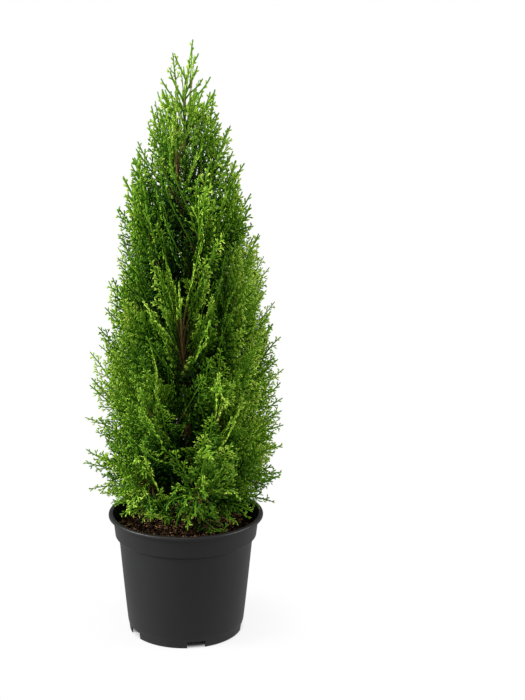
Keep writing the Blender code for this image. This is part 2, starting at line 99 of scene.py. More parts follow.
# The pot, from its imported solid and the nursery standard
POT_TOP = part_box("pot")[1].z
LIP_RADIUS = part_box("pot")[1].x
WALL = 0.0016
LIP_HEIGHT = 0.0040
BAND_TOP_RADIUS = 0.0895
BAND_FOOT_RADIUS = 0.0870
BAND_FOOT_Z = 0.1215
SHOULDER_RADIUS = 0.0822
SHOULDER_Z = 0.1175
BASE_RADIUS = 0.0707
BODY_BULGE = 0.9
FLOOR_UNDER_Z = 0.0055
FLOOR_TOP_Z = 0.0072
PAD_RADIUS = 0.018
NOTCH_COUNT = 5
NOTCH_HEIGHT = 0.0085
NOTCH_INNER_RADIUS = 0.060
NOTCH_AZIMUTH = math.radians(-80)
NOTCH_STEPS = 9             # a notch is this many columns wide
POT_COLUMNS = 180
BODY_TOP_Z = 0.112
BODY_FOOT_Z = 0.0125
STEP_TOP_Z = 0.0112         # the wall steps in between these two heights
STEP_FOOT_Z = 0.0104
STEP_DEPTH = 0.00055
HEEL_ROUND = 0.0007

# The rounded edges of the lip, band and neck, in the order of the section: radius and height of
# the centre, radius of the curve, its first and last angle in degrees from level, its points
POT_ROUNDS = (
    (BAND_TOP_RADIUS + 0.0012, POT_TOP - 0.0013, 0.0013, 180, 90, 6),
    (LIP_RADIUS - 0.0019, POT_TOP - 0.0019, 0.0019, 90, 0, 8),
    (LIP_RADIUS - 0.0008, POT_TOP - LIP_HEIGHT + 0.0008, 0.0008, 0, -90, 5),
    (BAND_TOP_RADIUS + 0.0010, POT_TOP - LIP_HEIGHT - 0.0010, 0.0010, 90, 180, 5),
    (BAND_FOOT_RADIUS - 0.0014, BAND_FOOT_Z + 0.0014, 0.0014, 0, -60, 6),
    (SHOULDER_RADIUS + 0.0016, SHOULDER_Z - 0.0004, 0.0016, 110, 180, 6),
)

# The soil
SOIL_TOP_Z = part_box("soil")[1].z
SOIL_EDGE_Z = 0.1345
SOIL_FLAT_RADIUS = 0.014
SOIL_RADIUS = 0.0865
SOIL_CURVE = 1.5            # the power by which the mound falls towards the wall
SOIL_SINK = 0.0012          # how far below the mound its lumpy surface lies on the average
SOIL_LUMPS = ((0.0011, 0.016, 5), (0.0009, 0.0065, 6), (0.0005, 0.0028, 7))  # height, size, seed
SOIL_WALL_DEPTH = 0.014     # how far the filling goes down along the wall, and the share of
SOIL_WALL_SHARE = 0.975     # its radius that it has down there
SOIL_FIRST_RING = 0.012     # the share of the soil's radius that its smallest ring has
SOIL_RINGS = 70
SOIL_COLUMNS = 168

# Loose soil, as small tubes of two rings: where the rings stand, as shares of half the length,
# the least and most share of the width and of the thickness, sides, and how uneven they are. A
# chip's length, width and thickness are each a size, and the least and most share of it.
Grain = namedtuple("Grain", "rings wide deep sides rough")
CRUMB = Grain((-0.55, 0.55), (0.6, 1.0), (0.45, 0.85), 5, 0.13)
CHIP = Grain((-0.84, 0.80), (0.55, 1.0), (0.7, 1.0), 4, 0.2)
CRUMB_SIZES = (0.0007, 0.0036)
CHIP_SIZES = ((0.0080, 0.4, 1.1), (0.0028, 0.4, 1.0), (0.0010, 0.5, 1.0))
FIBRE_COUNT = 420
FIBRE_LENGTHS = (0.006, 0.017)
FIBRE_RADII = (0.00013, 0.00026)
FIBRE_RINGS = 6

# The trunk
TIP_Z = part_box("trunk")[1].z
TRUNK_FOOT_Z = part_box("trunk")[0].z
TRUNK_RADIUS = 0.0056
TRUNK_TIP_RADIUS = 0.0007
TRUNK_TAPER = 0.9
FLARE = 0.0024
FLARE_HEIGHT = 0.008
SWAY_X = 0.0025
SWAY_Y = 0.0015
TIP_NOD = 0.010
TIP_NOD_POWER = 20
LEADER_Z = 0.600            # above this the trunk is a young green-brown leader
LEADER_TOP_Z = 0.668        # above this its main shoot takes over
TRUNK_SEED = 11

# Bark ridges are noise read on a cylinder of this radius round the limb, drawn out along it by
# taking this share of its length: weight and size of the coarse and of the fine ridges
RIDGE_RADIUS = 0.010
RIDGE_STRETCH = 0.16
COARSE_RIDGE = (0.65, 0.0060)
FINE_RIDGE = (0.35, 0.0026)

# The crown's outline
CROWN_RADIUS = 0.125
BELLY_Z = 0.195
TAPER_POWER = 1.5
TAPER_ROUNDING = 0.68
TUCK = 0.62                 # how much narrower it gets for each metre below the belly
OVERREACH = 0.008           # how far past it a spray may reach
END_GAP = 0.002             # how far inside its limits a spray ends
LOBE_DEPTH = 0.12           # the outline swells and shrinks by this share
LOBE_SIZE = 0.12
LOBE_SEED = 12002

# Sprays gather in fans of this height, which swell at the top and are drawn in towards the foot
# by a power of the way down, at these heights by these shares. From limb to limb they lie lower
# by this many fan heights for each radian of azimuth.
FAN_HEIGHT = 0.052
FAN_LEVELS = (0.200, 0.300)
FAN_DEPTHS = (0.18, 0.14)
FAN_PHASE = 0.34
FAN_TURN = 1.7
FAN_SWELL = 1.05
FAN_CURVE = 1.5

# At these heights the outline is wider or narrower by these shares, and leans this far to +X
WIDTH_HEIGHTS = (0.300, 0.350, 0.400, 0.450, 0.530, 0.590, 0.625, 0.660)
WIDTHS = (0.98, 1.02, 1.01, 0.97, 1.04, 1.12, 1.0, 0.92)
LEAN_HEIGHTS = (0.160, 0.260, 0.500, 0.620)
LEANS = (0.0, 0.004, 0.004, 0.0)

# Upright partings in the crown, by azimuth in degrees, where the wood can be seen. Sprays that
# are within the first width of one, in degrees, and above its foot stand aside. Those within the
# second width and below its top height face outwards, and a share of them that shrinks with
# height droops while the rest stand up.
PARTINGS = (-95.0, 47.0, 133.0)
PARTING_WIDTH = 28.0
PARTING_FOOT_Z = 0.215
FACING_WIDTH = 40.0
FACING_TOP_Z = 0.330
DROOP_HEIGHTS = (0.190, 0.330)
DROOP_SHARES = (0.85, 0.15)
DROOP_TILT = -52.0
STAND_TILT = 66.0

# Limbs
LIMB_START = 0.6            # a limb starts at this share of the trunk's radius
LIMB_RISE = 1.25            # it rises by this power of the share along it
LIMB_REACH = 0.95           # it reaches this share of the crown's radius
LIMB_ROOT_RADIUS = 0.0024
LIMB_MIDDLE_RADIUS = 0.0016
LIMB_TIP_RADIUS = 0.0010
LIMB_BARE = 0.78            # the share of a limb that is bark; its end spray goes on from there
LIMB_MIDDLE = 0.35          # the share of a limb at which it has its middle radius
LIMB_RINGS = 30
LIMB_SIDES = 10
LIMB_RELIEF = 0.10
LIMB_WANDER = 0.0014        # how far a limb strays sideways, and over what length
WANDER_SIZE = 0.055
COLLAR_SWELL = 0.45         # a limb is thicker by this share at its root, which fades over
COLLAR_FADE = 0.035         # this share of its length
WANDER_SEED = 30
LIMB_SEED = 60
SPRAY_ROOTS = (0.04, 0.92)  # sprays spring between these shares of a limb
LIMB_POINTS = 48            # from one of this many places
DROOP_ROOTS = 30            # drooping sprays spring from the first of them

# Each tier: floor height at the axis, the floor's rise per metre outwards, number of limbs,
# heights where limbs leave the trunk and where they end, spread of the feet and of the ends,
# whether the limb starts as a bough, its girth, outer and inner sprays on a limb, leafy
# length of a spray, turn of the first sector in degrees
Tier = namedtuple(
    "Tier", "name floor slope count foot tip stagger drop bough girth sprays inner length turn")
TIERS = (
    Tier("skirt", 0.137, 0.18, 7, 0.161, 0.240, 0.004, 0.030, False, 0.62, 24, 11, 0.084, -80),
    Tier("low", 0.175, 0.75, 6, 0.206, 0.350, 0.014, 0.040, True, 1.0, 24, 14, 0.088, -60),
    Tier("mid", 0.245, 1.30, 6, 0.282, 0.465, 0.016, 0.045, True, 1.0, 22, 12, 0.088, -95),
    Tier("upper", 0.335, 1.90, 5, 0.378, 0.570, 0.018, 0.045, True, 1.0, 19, 11, 0.080, -70),
    Tier("high", 0.435, 2.40, 4, 0.478, 0.645, 0.018, 0.030, False, 0.62, 11, 5, 0.066, -110),
    Tier("tip", 0.550, 2.80, 3, 0.590, 0.707, 0.014, 0.012, False, 0.35, 6, 1, 0.046, -60),
)
SEARCH_FOOT_Z = 0.13        # where each tier meets the outline is looked for from this height
SEARCH_STEPS = 600          # to the tip, at this many heights
SPRAY_TOP_Z = 0.660         # only the leader's own sparse shoots reach above this
OPEN_Z = 0.540              # sprays that end above this are more open
Limb = namedtuple("Limb", "tier name azimuth foot tip start reach")

# How steeply the end of a spray points, in degrees above level, by its height
TILT_HEIGHTS = (0.140, 0.152, 0.170, 0.190, 0.240, 0.300, 0.400, 0.500, 0.600, 0.700)
TILTS = (-34.0, -26.0, -16.0, -4.0, 20.0, 38.0, 52.0, 57.0, 62.0, 78.0)

# Tints of the foliage, painted light and shade: from sunlit tips to painted shade near the
# wood, and how many tints a shoot goes down, as painted shade, for each radius of depth in
# the crown; near the leader the shoots are painted lighter
TINT_NAMES = ("sunlit", "fresh", "leaf", "deep", "shade")
SHADING = 5.4
LEADER_LIGHT = 0.09         # how much lighter than the outermost shoots the leader is
LEADER_FADE = 0.12          # over what height below the leader this comes in
LEAST_CROWN = 0.02          # the depth is never a share of a smaller radius than this
SPRAY_MOOD = 0.9            # how many tints a spray, and a side axis in it, may differ
AXIS_MOOD = 0.25
AXIS_SHADE = 0.8            # how many tints side axes go down, and shoots at an axis' foot;
SHOOT_SHADE = 0.30          # towards its tip shoots come up again
SHOOT_LIGHT = 0.7

# How far a spray turns from the upright plane through the axis, in degrees: the least for an
# outer one; the most for one near a parting, above the height where low ones face outwards; and
# the ranges for those low ones, for those that droop over the pot and for inner ones
LEAST_SWING = 3.0
PARTING_SWING = 62.0
FACING_SWINGS = (50.0, 90.0)
DROOPING_SWINGS = (62.0, 90.0)
INNER_SWINGS = (0.0, 90.0)

# Sprays on each of the lowest limbs that hang down over the soil: their number, how far out they
# end, how far above their ends they spring, as near as the limb allows, how much higher they end
# for each metre outwards, how far above the soil, and how many degrees below level they point
HANGING_COUNT = 8
HANGING_REACHES = (0.034, 0.052, 0.044, 0.066, 0.058)
HANGING_DROP = 0.052
HANGING_RISE = 0.38
HANGING_LIFTS = (0.003, 0.012)
HANGING_TILTS = (55.0, 80.0)

# How far out sprays end, as shares of the crown's radius: most of the outer ones, each fifth
# one, each fourth one, and the inner ones; and how much less those at a cell's sides reach
OUTER_DEPTHS = (0.86, 0.94)
SUNK_DEPTHS = (0.74, 0.86)
PROUD_DEPTHS = (1.00, 1.05)
INNER_DEPTHS = (0.30, 0.66)
CELL_ROUNDING = 0.06
CELL_SHARE = 0.98           # the share of its cell's width that a limb fills
INNER_FOOT = 0.035          # inner sprays end from this far above the limb's foot to this
INNER_TOP = 0.010           # far below the top of the tier
INNER_TILTS = (50.0, 85.0)
TILT_SPREAD = 9.0           # how many degrees tilts and turns stray from the rule
YAW_SPREAD = 16.0

# A spray's twig: pull of its root and of its tip as shares of the span, points, and how far it
# runs on past its end; how far its face turns, in degrees; how far before its end it leaves the
# limb, in leafy lengths
ROOT_PULL = 0.36
TIP_PULL = 0.42
SPINE_POINTS = 26
SPINE_BEYOND = 0.03
TWIST = 30.0
SPRING_BACK = 1.3
END_OVERLAP = 0.06          # the end spray starts this share of the limb before the bark ends
END_REACH = 1.04            # and ends at the outline, at most this many times as far out
END_TWIST = 0.3             # how far its face turns, in radians
TWIG_RADII = (0.0012, 0.0008)  # of a bare twig, at its root and at its end

# The share of a spray's side axes that must be clear for it to grow; how far clear of the soil,
# of the lip and of the pot's wall its points must be; and the height that they must be above
CLEAR_SHARE = 0.6
SOIL_CLEARANCE = 0.0010
LIP_CLEARANCE = 0.002
WALL_CLEARANCE = 0.003
LOWEST_Z = 0.06

# Growth of a spray: spacing and relative length of its side axes, spacing of the shoots on
# them, first shoot, least and most shoot length, angle of the side axes, how far things lean
# out of its plane in degrees, rings of a shoot, girth of the shoots
Habit = namedtuple("Habit", "gap reach shoot_gap first shoot most angle lean rings girth")
FULL = Habit(0.0070, 0.39, 0.0034, 0.0036, 0.0046, 0.0092, 46.0, 10.0, 1, 1.04)
OPEN = Habit(0.0080, 0.40, 0.0040, 0.0040, 0.0048, 0.0090, 44.0, 9.0, 1, 1.06)
INNER = Habit(0.0080, 0.42, 0.0052, 0.0030, 0.0044, 0.0100, 50.0, 20.0, 1, 1.14)
SPARSE = Habit(0.0120, 0.17, 0.0056, 0.0044, 0.0036, 0.0052, 32.0, 8.0, 2, 1.12)

# The kinds of spray by habit, first seed and lengths. Each length is made three times, and a
# spray takes one of the three that are nearest to its own.
SPRAY_KINDS = {
    "outer": (FULL, 100, (0.042, 0.055, 0.068, 0.080, 0.092)),
    "inner": (INNER, 200, (0.045, 0.065, 0.085)),
    "open": (OPEN, 300, (0.040, 0.052, 0.064)),
    "leader": (SPARSE, 400, (0.020, 0.032, 0.046)),
}
CHOICES = 3
LEAFY_SHARE = 0.88          # a spray is leafy over no more than this share of its twig
LEADER_LEAFY = 0.046        # the leafy length of the leader's own shoots
SPRAY_WOOD = 0.3            # wood runs on under this share of the leafy part
CUP = 16.0                  # how far a spray is cupped, per metre

# Side axes: share of the spray that bears them, place of the first in its gap and how far they
# slip, power by which they shorten towards the tip, least length, how many degrees they close
# up towards the tip, their bend in degrees, and where their rings stand with their girths
AXES_SHARE = 0.98
AXIS_FIRST = 0.55
AXIS_SLIP = 0.12
AXIS_TAPER = 0.8
LEAST_AXIS = 0.0058
AXIS_CLOSING = 10.0
AXIS_BENDS = (4.0, 14.0)
AXIS_RINGS = ((0.04, 0.45, 0.86), (0.72, 0.86, 1.0))
AXIS_LENGTHS = (0.84, 1.14)  # what chance makes of a side axis' length, at the least and most
AXIS_STRAY = 4.0            # how many degrees chance turns it
FOOT_SHIFT = 0.14           # near a spray's foot side axes are shortened, to their share along
FOOT_SPAN = 0.30            # the spray plus the shift, divided by the span, but to no less than
FOOT_LEAST = 0.4            # the least

# Shoots: how far they slip, how near the axis' tip they end, growth for each metre of the axis
# that is left, and the most that the last ones may be; angle; length from which they fork, and
# how far along; angle and lengths of the ones on the spine; how far they are sunk in their
# axis; and for one or two rings, where these stand and how wide they are
SHOOT_SLIP = 0.0005
AXIS_BARE_END = 0.0026
SHOOT_GROWTH = 0.40
LAST_SHOOT = 0.0012
LAST_GROWTH = 1.1
SHOOT_ANGLE = 42.0
FORKING_LENGTH = 0.0074
FORK_SHARE = 0.48
SPINE_SHOOT_ANGLE = 40.0
SPINE_SHOOT_LENGTHS = (0.0040, 0.0060)
SHOOT_SUNK = 0.0006
SHOOT_RINGS = {1: ((0.68,), (1.06,)), 2: ((0.14, 0.82), (0.78, 1.0))}
SHOOT_STRAY = 5.0           # how many degrees chance turns a shoot
SHOOT_LENGTHS = (0.85, 1.15)  # what chance makes of its length, of a fork's and of its girth
FORK_LENGTHS = (0.9, 1.2)
SHOOT_GIRTHS = (0.88, 1.10)

# A spray's spine: where its last ring stands, its girth at the root over a shoot's, how much of
# that has gone at the tip, and its thickness over its width
SPINE_END = 0.985
SPINE_GIRTH = 1.12
SPINE_THINNING = 0.3
SPINE_FLATNESS = 0.8

# The colour sockets of a Mix node, by number, because its three kinds of socket share names
MIX_LOW, MIX_HIGH, MIX_RESULT = 6, 7, 2

# Fixed finishes: dust on the plastic, the painted shade inside the pot, how squarely a wall faces
# the axis to be painted dark as shade, straw in the soil, and the darker and paler bark of old and
# young twigs
DUST_BROWN = (0.11, 0.085, 0.065)
WALL_PAINTED_SHADE = (0.0035, 0.0026, 0.0020)
FACING_INWARD = -0.75
STRAW = (0.36, 0.21, 0.11)
TWIG_BARK = ((0.140, 0.092, 0.026), (0.360, 0.270, 0.090))
YOUNG_BARK = ((0.080, 0.105, 0.020), (0.240, 0.260, 0.060))

Axes = namedtuple("Axes", "root side angle bend slope reach")
Shoots = namedtuple("Shoots", "root angle slope length owner share")
Template = namedtuple("Template", "length spine axes shoots owner share")
Spine = namedtuple("Spine", "arc centre across off")
SPINE_RINGS = 9
TWIG_RINGS = 8
SIDES = 4                   # of every tube in a spray


# Numbers and meshes

def unit(vectors):
    """Each vector divided by its length."""
    return vectors / np.maximum(np.linalg.norm(vectors, axis=-1, keepdims=True), 1e-12)


def heading_of(angle, slope):
    """Unit vectors that point by an angle round the axis and rise by a slope."""
    level = np.cos(slope)
    return np.stack([np.cos(angle) * level, np.sin(angle) * level, np.sin(slope)], -1)


def sideways(angle):
    """Level unit vectors a quarter turn on from an angle."""
    return np.stack([-np.sin(angle), np.cos(angle), angle * 0.0], -1)


def about(chance, spread, size):
    """Random angles of up to a spread in degrees either way, in radians."""
    return np.radians(chance.uniform(-spread, spread, size))


def ripple(points, size, seed, waves=14):
    """Smooth noise, mostly from -1 to 1: twice the mean of sines along seeded directions, whose
    waves are about size long."""
    chance = np.random.default_rng(seed)
    direction = unit(chance.normal(size=(waves, 3))) * TAU / size
    direction *= chance.uniform(0.6, 1.4, (waves, 1))
    phase = chance.uniform(0.0, TAU, waves)
    return np.sin(points @ direction.T + phase).mean(axis=-1) * 2.0


def tube_faces(rings, sides):
    """Triangles of a closed tube: a root point, rings of the given sides and a tip point."""
    i = np.arange(sides)
    j = (i + 1) % sides
    low = 1 + np.arange(rings - 1)[:, None] * sides
    a, b = low + i, low + j
    c, d = b + sides, a + sides
    last = 1 + (rings - 1) * sides
    return np.concatenate([
        np.stack([i * 0, 1 + j, 1 + i], 1),
        np.stack([a, b, c], -1).reshape(-1, 3),
        np.stack([a, c, d], -1).reshape(-1, 3),
        np.stack([last + i, last + j, i * 0 + last + sides], 1),
    ])


def tube_points(centre, across, off, wide, deep, sides, ends):
    """Rings about centre (..., rings, 3): centre + wide cos t across + deep sin t off, with
    the two end points before and after them."""
    turn = np.arange(sides) * TAU / sides
    ring = centre[..., None, :] + (
        (wide[..., None] * np.cos(turn))[..., None] * across[..., None, :]
        + (deep[..., None] * np.sin(turn))[..., None] * off[..., None, :])
    shape = ring.shape[:-3] + (-1, 3)
    root, tip = ends
    return np.concatenate([root[..., None, :], ring.reshape(shape), tip[..., None, :]], axis=-2)


def tubes(points, rings, sides):
    """(points, faces) of many tubes of the same make, the faces repeated for each of them."""
    count, size = points.shape[:2]
    faces = tube_faces(rings, sides)[None] + (np.arange(count) * size)[:, None, None]
    return points.reshape(-1, 3), faces.reshape(-1, 3)


def joined(parts):
    """(points, faces) of several shapes as one, each shape's faces moved past the last."""
    points, faces, start = [], [], 0
    for some, corners in parts:
        points.append(some)
        faces.append(corners + start)
        start += len(some)
    return np.concatenate(points), np.concatenate(faces)


def new_mesh(name, points, faces):
    """A mesh from an array of points and an array of faces with the same number of corners."""
    mesh = bpy.data.meshes.new(name)
    corners = faces.shape[1]
    mesh.vertices.add(len(points))
    mesh.vertices.foreach_set("co", points.astype(np.float32).ravel())
    mesh.loops.add(faces.size)
    mesh.loops.foreach_set("vertex_index", faces.astype(np.int32).ravel())
    mesh.polygons.add(len(faces))
    mesh.polygons.foreach_set("loop_start", np.arange(len(faces), dtype=np.int32) * corners)
    mesh.update(calc_edges=True)
    mesh.validate()
    return mesh


def show(mesh, material):
    """Puts a mesh with its material into the scene."""
    thing = bpy.data.objects.new(mesh.name, mesh)
    bpy.context.scene.collection.objects.link(thing)
    mesh.materials.append(material)
    return thing


def add_piece(mesh, material, nodes=(), sharp=None):
    """Shows a mesh as a piece of the plant that rides on its body and stands for some nodes,
    smooth but for edges sharper than an angle in degrees."""
    thing = show(mesh, material)
    mesh.shade_smooth()
    if sharp is not None:
        mesh.set_sharp_from_angle(angle=math.radians(sharp))
    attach(thing, BODY)
    if nodes:
        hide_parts(*nodes)


# Shader groups and materials

def feed(tree, socket, value):
    """Links another node's socket to this one, or sets this one to a number or a vector."""
    if isinstance(value, bpy.types.NodeSocket):
        tree.links.new(value, socket)
    else:
        socket.default_value = value


def add_node(tree, kind, values=(), **settings):
    """A shader node with its settings, and its inputs fed by name or by number."""
    node = tree.nodes.new("ShaderNode" + kind)
    for key, value in settings.items():
        setattr(node, key, value)
    for key, value in dict(values).items():
        feed(tree, node.inputs[key], value)
    return node


def math_node(tree, operation, *values):
    """The result of one operation on numbers or sockets."""
    return add_node(tree, "Math", enumerate(values), operation=operation).outputs[0]


def clamped(tree, value):
    """A value kept within 0 and 1."""
    return add_node(tree, "Clamp", {"Value": value}).outputs[0]


def between(tree, mask, low, high):
    """A number that runs from low to high with the mask: mask (high - low) + low."""
    return math_node(tree, "ADD", math_node(tree, "MULTIPLY", mask, high - low), low)


def mix_colour(tree, mask, low, high):
    """Low where the mask is 0 and high where it is 1, each a colour or a socket."""
    low, high = ((*end, 1.0) if isinstance(end, tuple) else end for end in (low, high))
    mix = add_node(
        tree, "Mix", {"Factor": mask, MIX_LOW: low, MIX_HIGH: high}, data_type="RGBA")
    return mix.outputs[MIX_RESULT]


def mix_shaders(tree, factor, first, second, output):
    """Feeds an output with the first shader where the factor is 0, the second where it is 1."""
    mix = add_node(
        tree, "MixShader", {"Fac": factor, 1: first.outputs[0], 2: second.outputs[0]})
    feed(tree, tree.nodes[output].inputs["Surface"], mix.outputs[0])


def mottle(group, given):
    """Noise on object coordinates at a size in metres, drawn out upwards by the stretch and
    sharpened about its middle: contrast (noise - 0.5) + 0.5, kept within 0 and 1."""
    place = add_node(group, "TexCoord").outputs["Object"]
    split = add_node(group, "SeparateXYZ", {0: place}).outputs
    height = math_node(group, "DIVIDE", split["Z"], given["Stretch"])
    drawn_out = add_node(group, "CombineXYZ", {"X": split["X"], "Y": split["Y"], "Z": height})
    noise = add_node(group, "TexNoise", {
        "Vector": drawn_out.outputs[0], "Scale": math_node(group, "DIVIDE", 1.0, given["Size"]),
        "Detail": 4.0, "Roughness": 0.6})
    centred = math_node(group, "SUBTRACT", noise.outputs["Fac"], 0.5)
    spread = math_node(group, "MULTIPLY", centred, given["Contrast"])
    return clamped(group, math_node(group, "ADD", spread, 0.5))


def settled_dust(group, given):
    """Where dust settles: faces that look up and the foot of the thing, the sum of the two
    broken by noise and scaled by the amount."""
    place = add_node(group, "TexCoord").outputs["Object"]
    height = add_node(group, "SeparateXYZ", {0: place}).outputs["Z"]
    normal = add_node(group, "NewGeometry").outputs["Normal"]
    upward = add_node(group, "SeparateXYZ", {0: normal}).outputs["Z"]
    up = math_node(group, "MAXIMUM", upward, 0.0)
    low = math_node(group, "DIVIDE", height, given["Foot"])
    foot = math_node(group, "MAXIMUM", math_node(group, "SUBTRACT", 1.0, low), 0.0)
    patch = place_group(group, "Mottle", Size=0.006, Contrast=2.4)
    broken = math_node(group, "MULTIPLY", math_node(group, "ADD", up, foot), patch)
    return clamped(group, math_node(group, "MULTIPLY", broken, given["Amount"]))


def inward(group, given):
    """1 where an upright surface faces the object's axis, 0 elsewhere: the level direction
    away from the axis and the normal have a dot product under the limit."""
    place = add_node(group, "TexCoord").outputs
    level = add_node(
        group, "VectorMath", {0: place["Object"], 1: (1.0, 1.0, 0.0)}, operation="MULTIPLY")
    outwards = add_node(group, "VectorMath", {0: level.outputs[0]}, operation="NORMALIZE")
    facing = add_node(
        group, "VectorMath", {0: outwards.outputs[0], 1: place["Normal"]},
        operation="DOT_PRODUCT")
    return math_node(group, "LESS_THAN", facing.outputs["Value"], FACING_INWARD)


# Each shader group's maker, with its inputs and their defaults; each puts out one mask
GROUPS = {
    "Mottle": (mottle, {"Size": 0.01, "Stretch": 1.0, "Contrast": 1.6}),
    "Settled Dust": (settled_dust, {"Amount": 0.3, "Foot": 0.02}),
    "Inward": (inward, {}),
}


def shader_group(name):
    """The shader group of this name, built when it is first asked for."""
    group = bpy.data.node_groups.get(name)
    if group is None:
        build, inputs = GROUPS[name]
        group = bpy.data.node_groups.new(name, "ShaderNodeTree")
        for label, default in inputs.items():
            socket = group.interface.new_socket(
                name=label, in_out="INPUT", socket_type="NodeSocketFloat")
            socket.default_value = default
        group.interface.new_socket(name="Mask", in_out="OUTPUT", socket_type="NodeSocketFloat")
        mask = build(group, group.nodes.new("NodeGroupInput").outputs)
        group.links.new(mask, group.nodes.new("NodeGroupOutput").inputs["Mask"])
    return group


def place_group(tree, name, **values):
    """The mask that a shader group puts out in this tree with its own values."""
    return add_node(tree, "Group", values, node_tree=shader_group(name)).outputs["Mask"]


def new_material(name):
    """A material with nodes of its own, and their tree."""
    material = bpy.data.materials.new(name)
    material.use_nodes = True
    return material, material.node_tree


def finish(tree, base, roughness, height, specular, strength, depth):
    """Feeds the material's own shader, with a bump of a strength and a depth in metres."""
    bump = add_node(tree, "Bump", {"Strength": strength, "Distance": depth, "Height": height})
    values = {"Specular IOR Level": specular, "Base Color": base, "Roughness": roughness,
              "Normal": bump.outputs[0]}
    for label, value in values.items():
        feed(tree, tree.nodes["Principled BSDF"].inputs[label], value)


def shaded(colour, share):
    """A colour made darker or lighter by one share for all its parts."""
    return tuple(part * share for part in colour)


def plastic_material(look):
    """Black moulded plastic: faint flow mottling, fine texture, and a trace of dust. The wall
    that faces the soil is painted near black as shade, and made quite dull."""
    material, tree = new_material("pot_plastic")
    flow = place_group(tree, "Mottle", Size=0.030, Stretch=2.5, Contrast=1.4)
    grain = place_group(tree, "Mottle", Size=0.0011, Contrast=1.2)
    dust = place_group(tree, "Settled Dust", Amount=look.dust, Foot=0.016)
    painted_shade = place_group(tree, "Inward")
    base = mix_colour(tree, flow, tuple(look.colour), shaded(look.colour, 1.45))
    base = mix_colour(tree, dust, base, DUST_BROWN)
    # Painted shade: the wall that faces the axis is darkened to near black
    base = mix_colour(tree, painted_shade, base, WALL_PAINTED_SHADE)
    smooth = between(tree, flow, look.roughness - 0.05, look.roughness + 0.07)
    dull = math_node(tree, "MAXIMUM", smooth, painted_shade)
    finish(tree, base, dull, grain, specular=0.42, strength=0.22, depth=0.0004)
    return material


def earth_material(name, dark, pale, size, roughness):
    """Peat or bark chips: two browns broken up at one size, and a rough fibrous surface."""
    material, tree = new_material(name)
    patch = place_group(tree, "Mottle", Size=size, Contrast=2.6)
    grain = place_group(tree, "Mottle", Size=size / 5.0, Contrast=2.0)
    rough = between(tree, grain, roughness - 0.15, roughness)
    base = mix_colour(tree, patch, dark, pale)
    finish(tree, base, rough, grain, specular=0.08, strength=0.6, depth=size / 4.0)
    return material


def bark_material(name, dark, pale, size):
    """Stringy bark: long fibres that run up the limb, in two browns."""
    material, tree = new_material(name)
    fibre = place_group(tree, "Mottle", Size=size, Stretch=7.0, Contrast=2.4)
    patch = place_group(tree, "Mottle", Size=size * 6.0, Stretch=2.0, Contrast=1.8)
    streaked = mix_colour(tree, fibre, dark, pale)
    aged = mix_colour(tree, patch, streaked, shaded(dark, 0.6))
    rough = between(tree, fibre, 0.72, 0.9)
    finish(tree, aged, rough, fibre, specular=0.22, strength=0.7, depth=size * 0.6)
    return material


def leaf_material(name, colour):
    """One plain green, with the fine bump of overlapping scale leaves."""
    material, tree = new_material(name)
    scale = place_group(tree, "Mottle", Size=0.0016, Contrast=2.2)
    rough = between(tree, scale, 0.48, 0.68)
    finish(tree, (*colour, 1.0), rough, scale, specular=0.20, strength=0.45, depth=0.0004)
    return material


# The pot

def body_radius(z):
    """The pot's body: from the base radius to the shoulder by a power of the height."""
    share = np.clip(z / SHOULDER_Z, 0.0, 1.0) ** BODY_BULGE
    return BASE_RADIUS + (SHOULDER_RADIUS - BASE_RADIUS) * share


def arc(centre, radius, first, last, count):
    """Points at even angles, in degrees, on a circle in the plane of radius and height."""
    turn = np.radians(np.linspace(first, last, count))
    return np.stack([centre[0] + radius * np.cos(turn), centre[1] + radius * np.sin(turn)], 1)


def pot_profile():
    """The pot's closed section as (radius, height) rows, with the rows where a notch cuts it.

    It runs from the axis over the inner floor, up the inside, round the lip, down the band,
    the shoulder and the body, and back under the raised floor to the axis."""
    inner = BASE_RADIUS - WALL
    floor = [(0.0, FLOOR_TOP_Z), (NOTCH_INNER_RADIUS, FLOOR_TOP_Z)]
    inside_z = np.concatenate([[FLOOR_TOP_Z, NOTCH_HEIGHT], np.linspace(0.02, SHOULDER_Z, 10)])
    inside = np.stack([body_radius(inside_z) - WALL, inside_z], 1)
    upper = [(BAND_FOOT_RADIUS - WALL, BAND_FOOT_Z + 0.0008),
             (BAND_TOP_RADIUS - WALL + 0.0001, POT_TOP - 0.0055)]
    rounds = [arc((radius, z), *rest) for radius, z, *rest in POT_ROUNDS]
    body_z = np.linspace(BODY_TOP_Z, BODY_FOOT_Z, 14)
    body = np.stack([body_radius(body_z), body_z], 1)
    step = [(body_radius(STEP_TOP_Z) - 0.0001, STEP_TOP_Z),
            (body_radius(STEP_FOOT_Z) - STEP_DEPTH, STEP_FOOT_Z)]
    notch_top = [(body_radius(NOTCH_HEIGHT) - STEP_DEPTH, NOTCH_HEIGHT)]
    heel = arc((BASE_RADIUS - 0.0012, HEEL_ROUND), HEEL_ROUND, 0, -90, 5)
    foot = [(inner, 0.0), (inner, FLOOR_UNDER_Z), (NOTCH_INNER_RADIUS, FLOOR_UNDER_Z)]
    pad = [(PAD_RADIUS, FLOOR_UNDER_Z), (PAD_RADIUS, 0.0), (0.0, 0.0)]
    outer = [upper, *rounds, body, step]
    rows = np.concatenate([floor, inside, *outer, notch_top, heel, foot, pad])
    first = len(floor) - 1
    second = len(floor) + 1
    third = len(floor) + len(inside) + sum(len(part) for part in outer)
    fourth = len(rows) - len(pad) - 1
    return rows, (first, second, third, fourth)


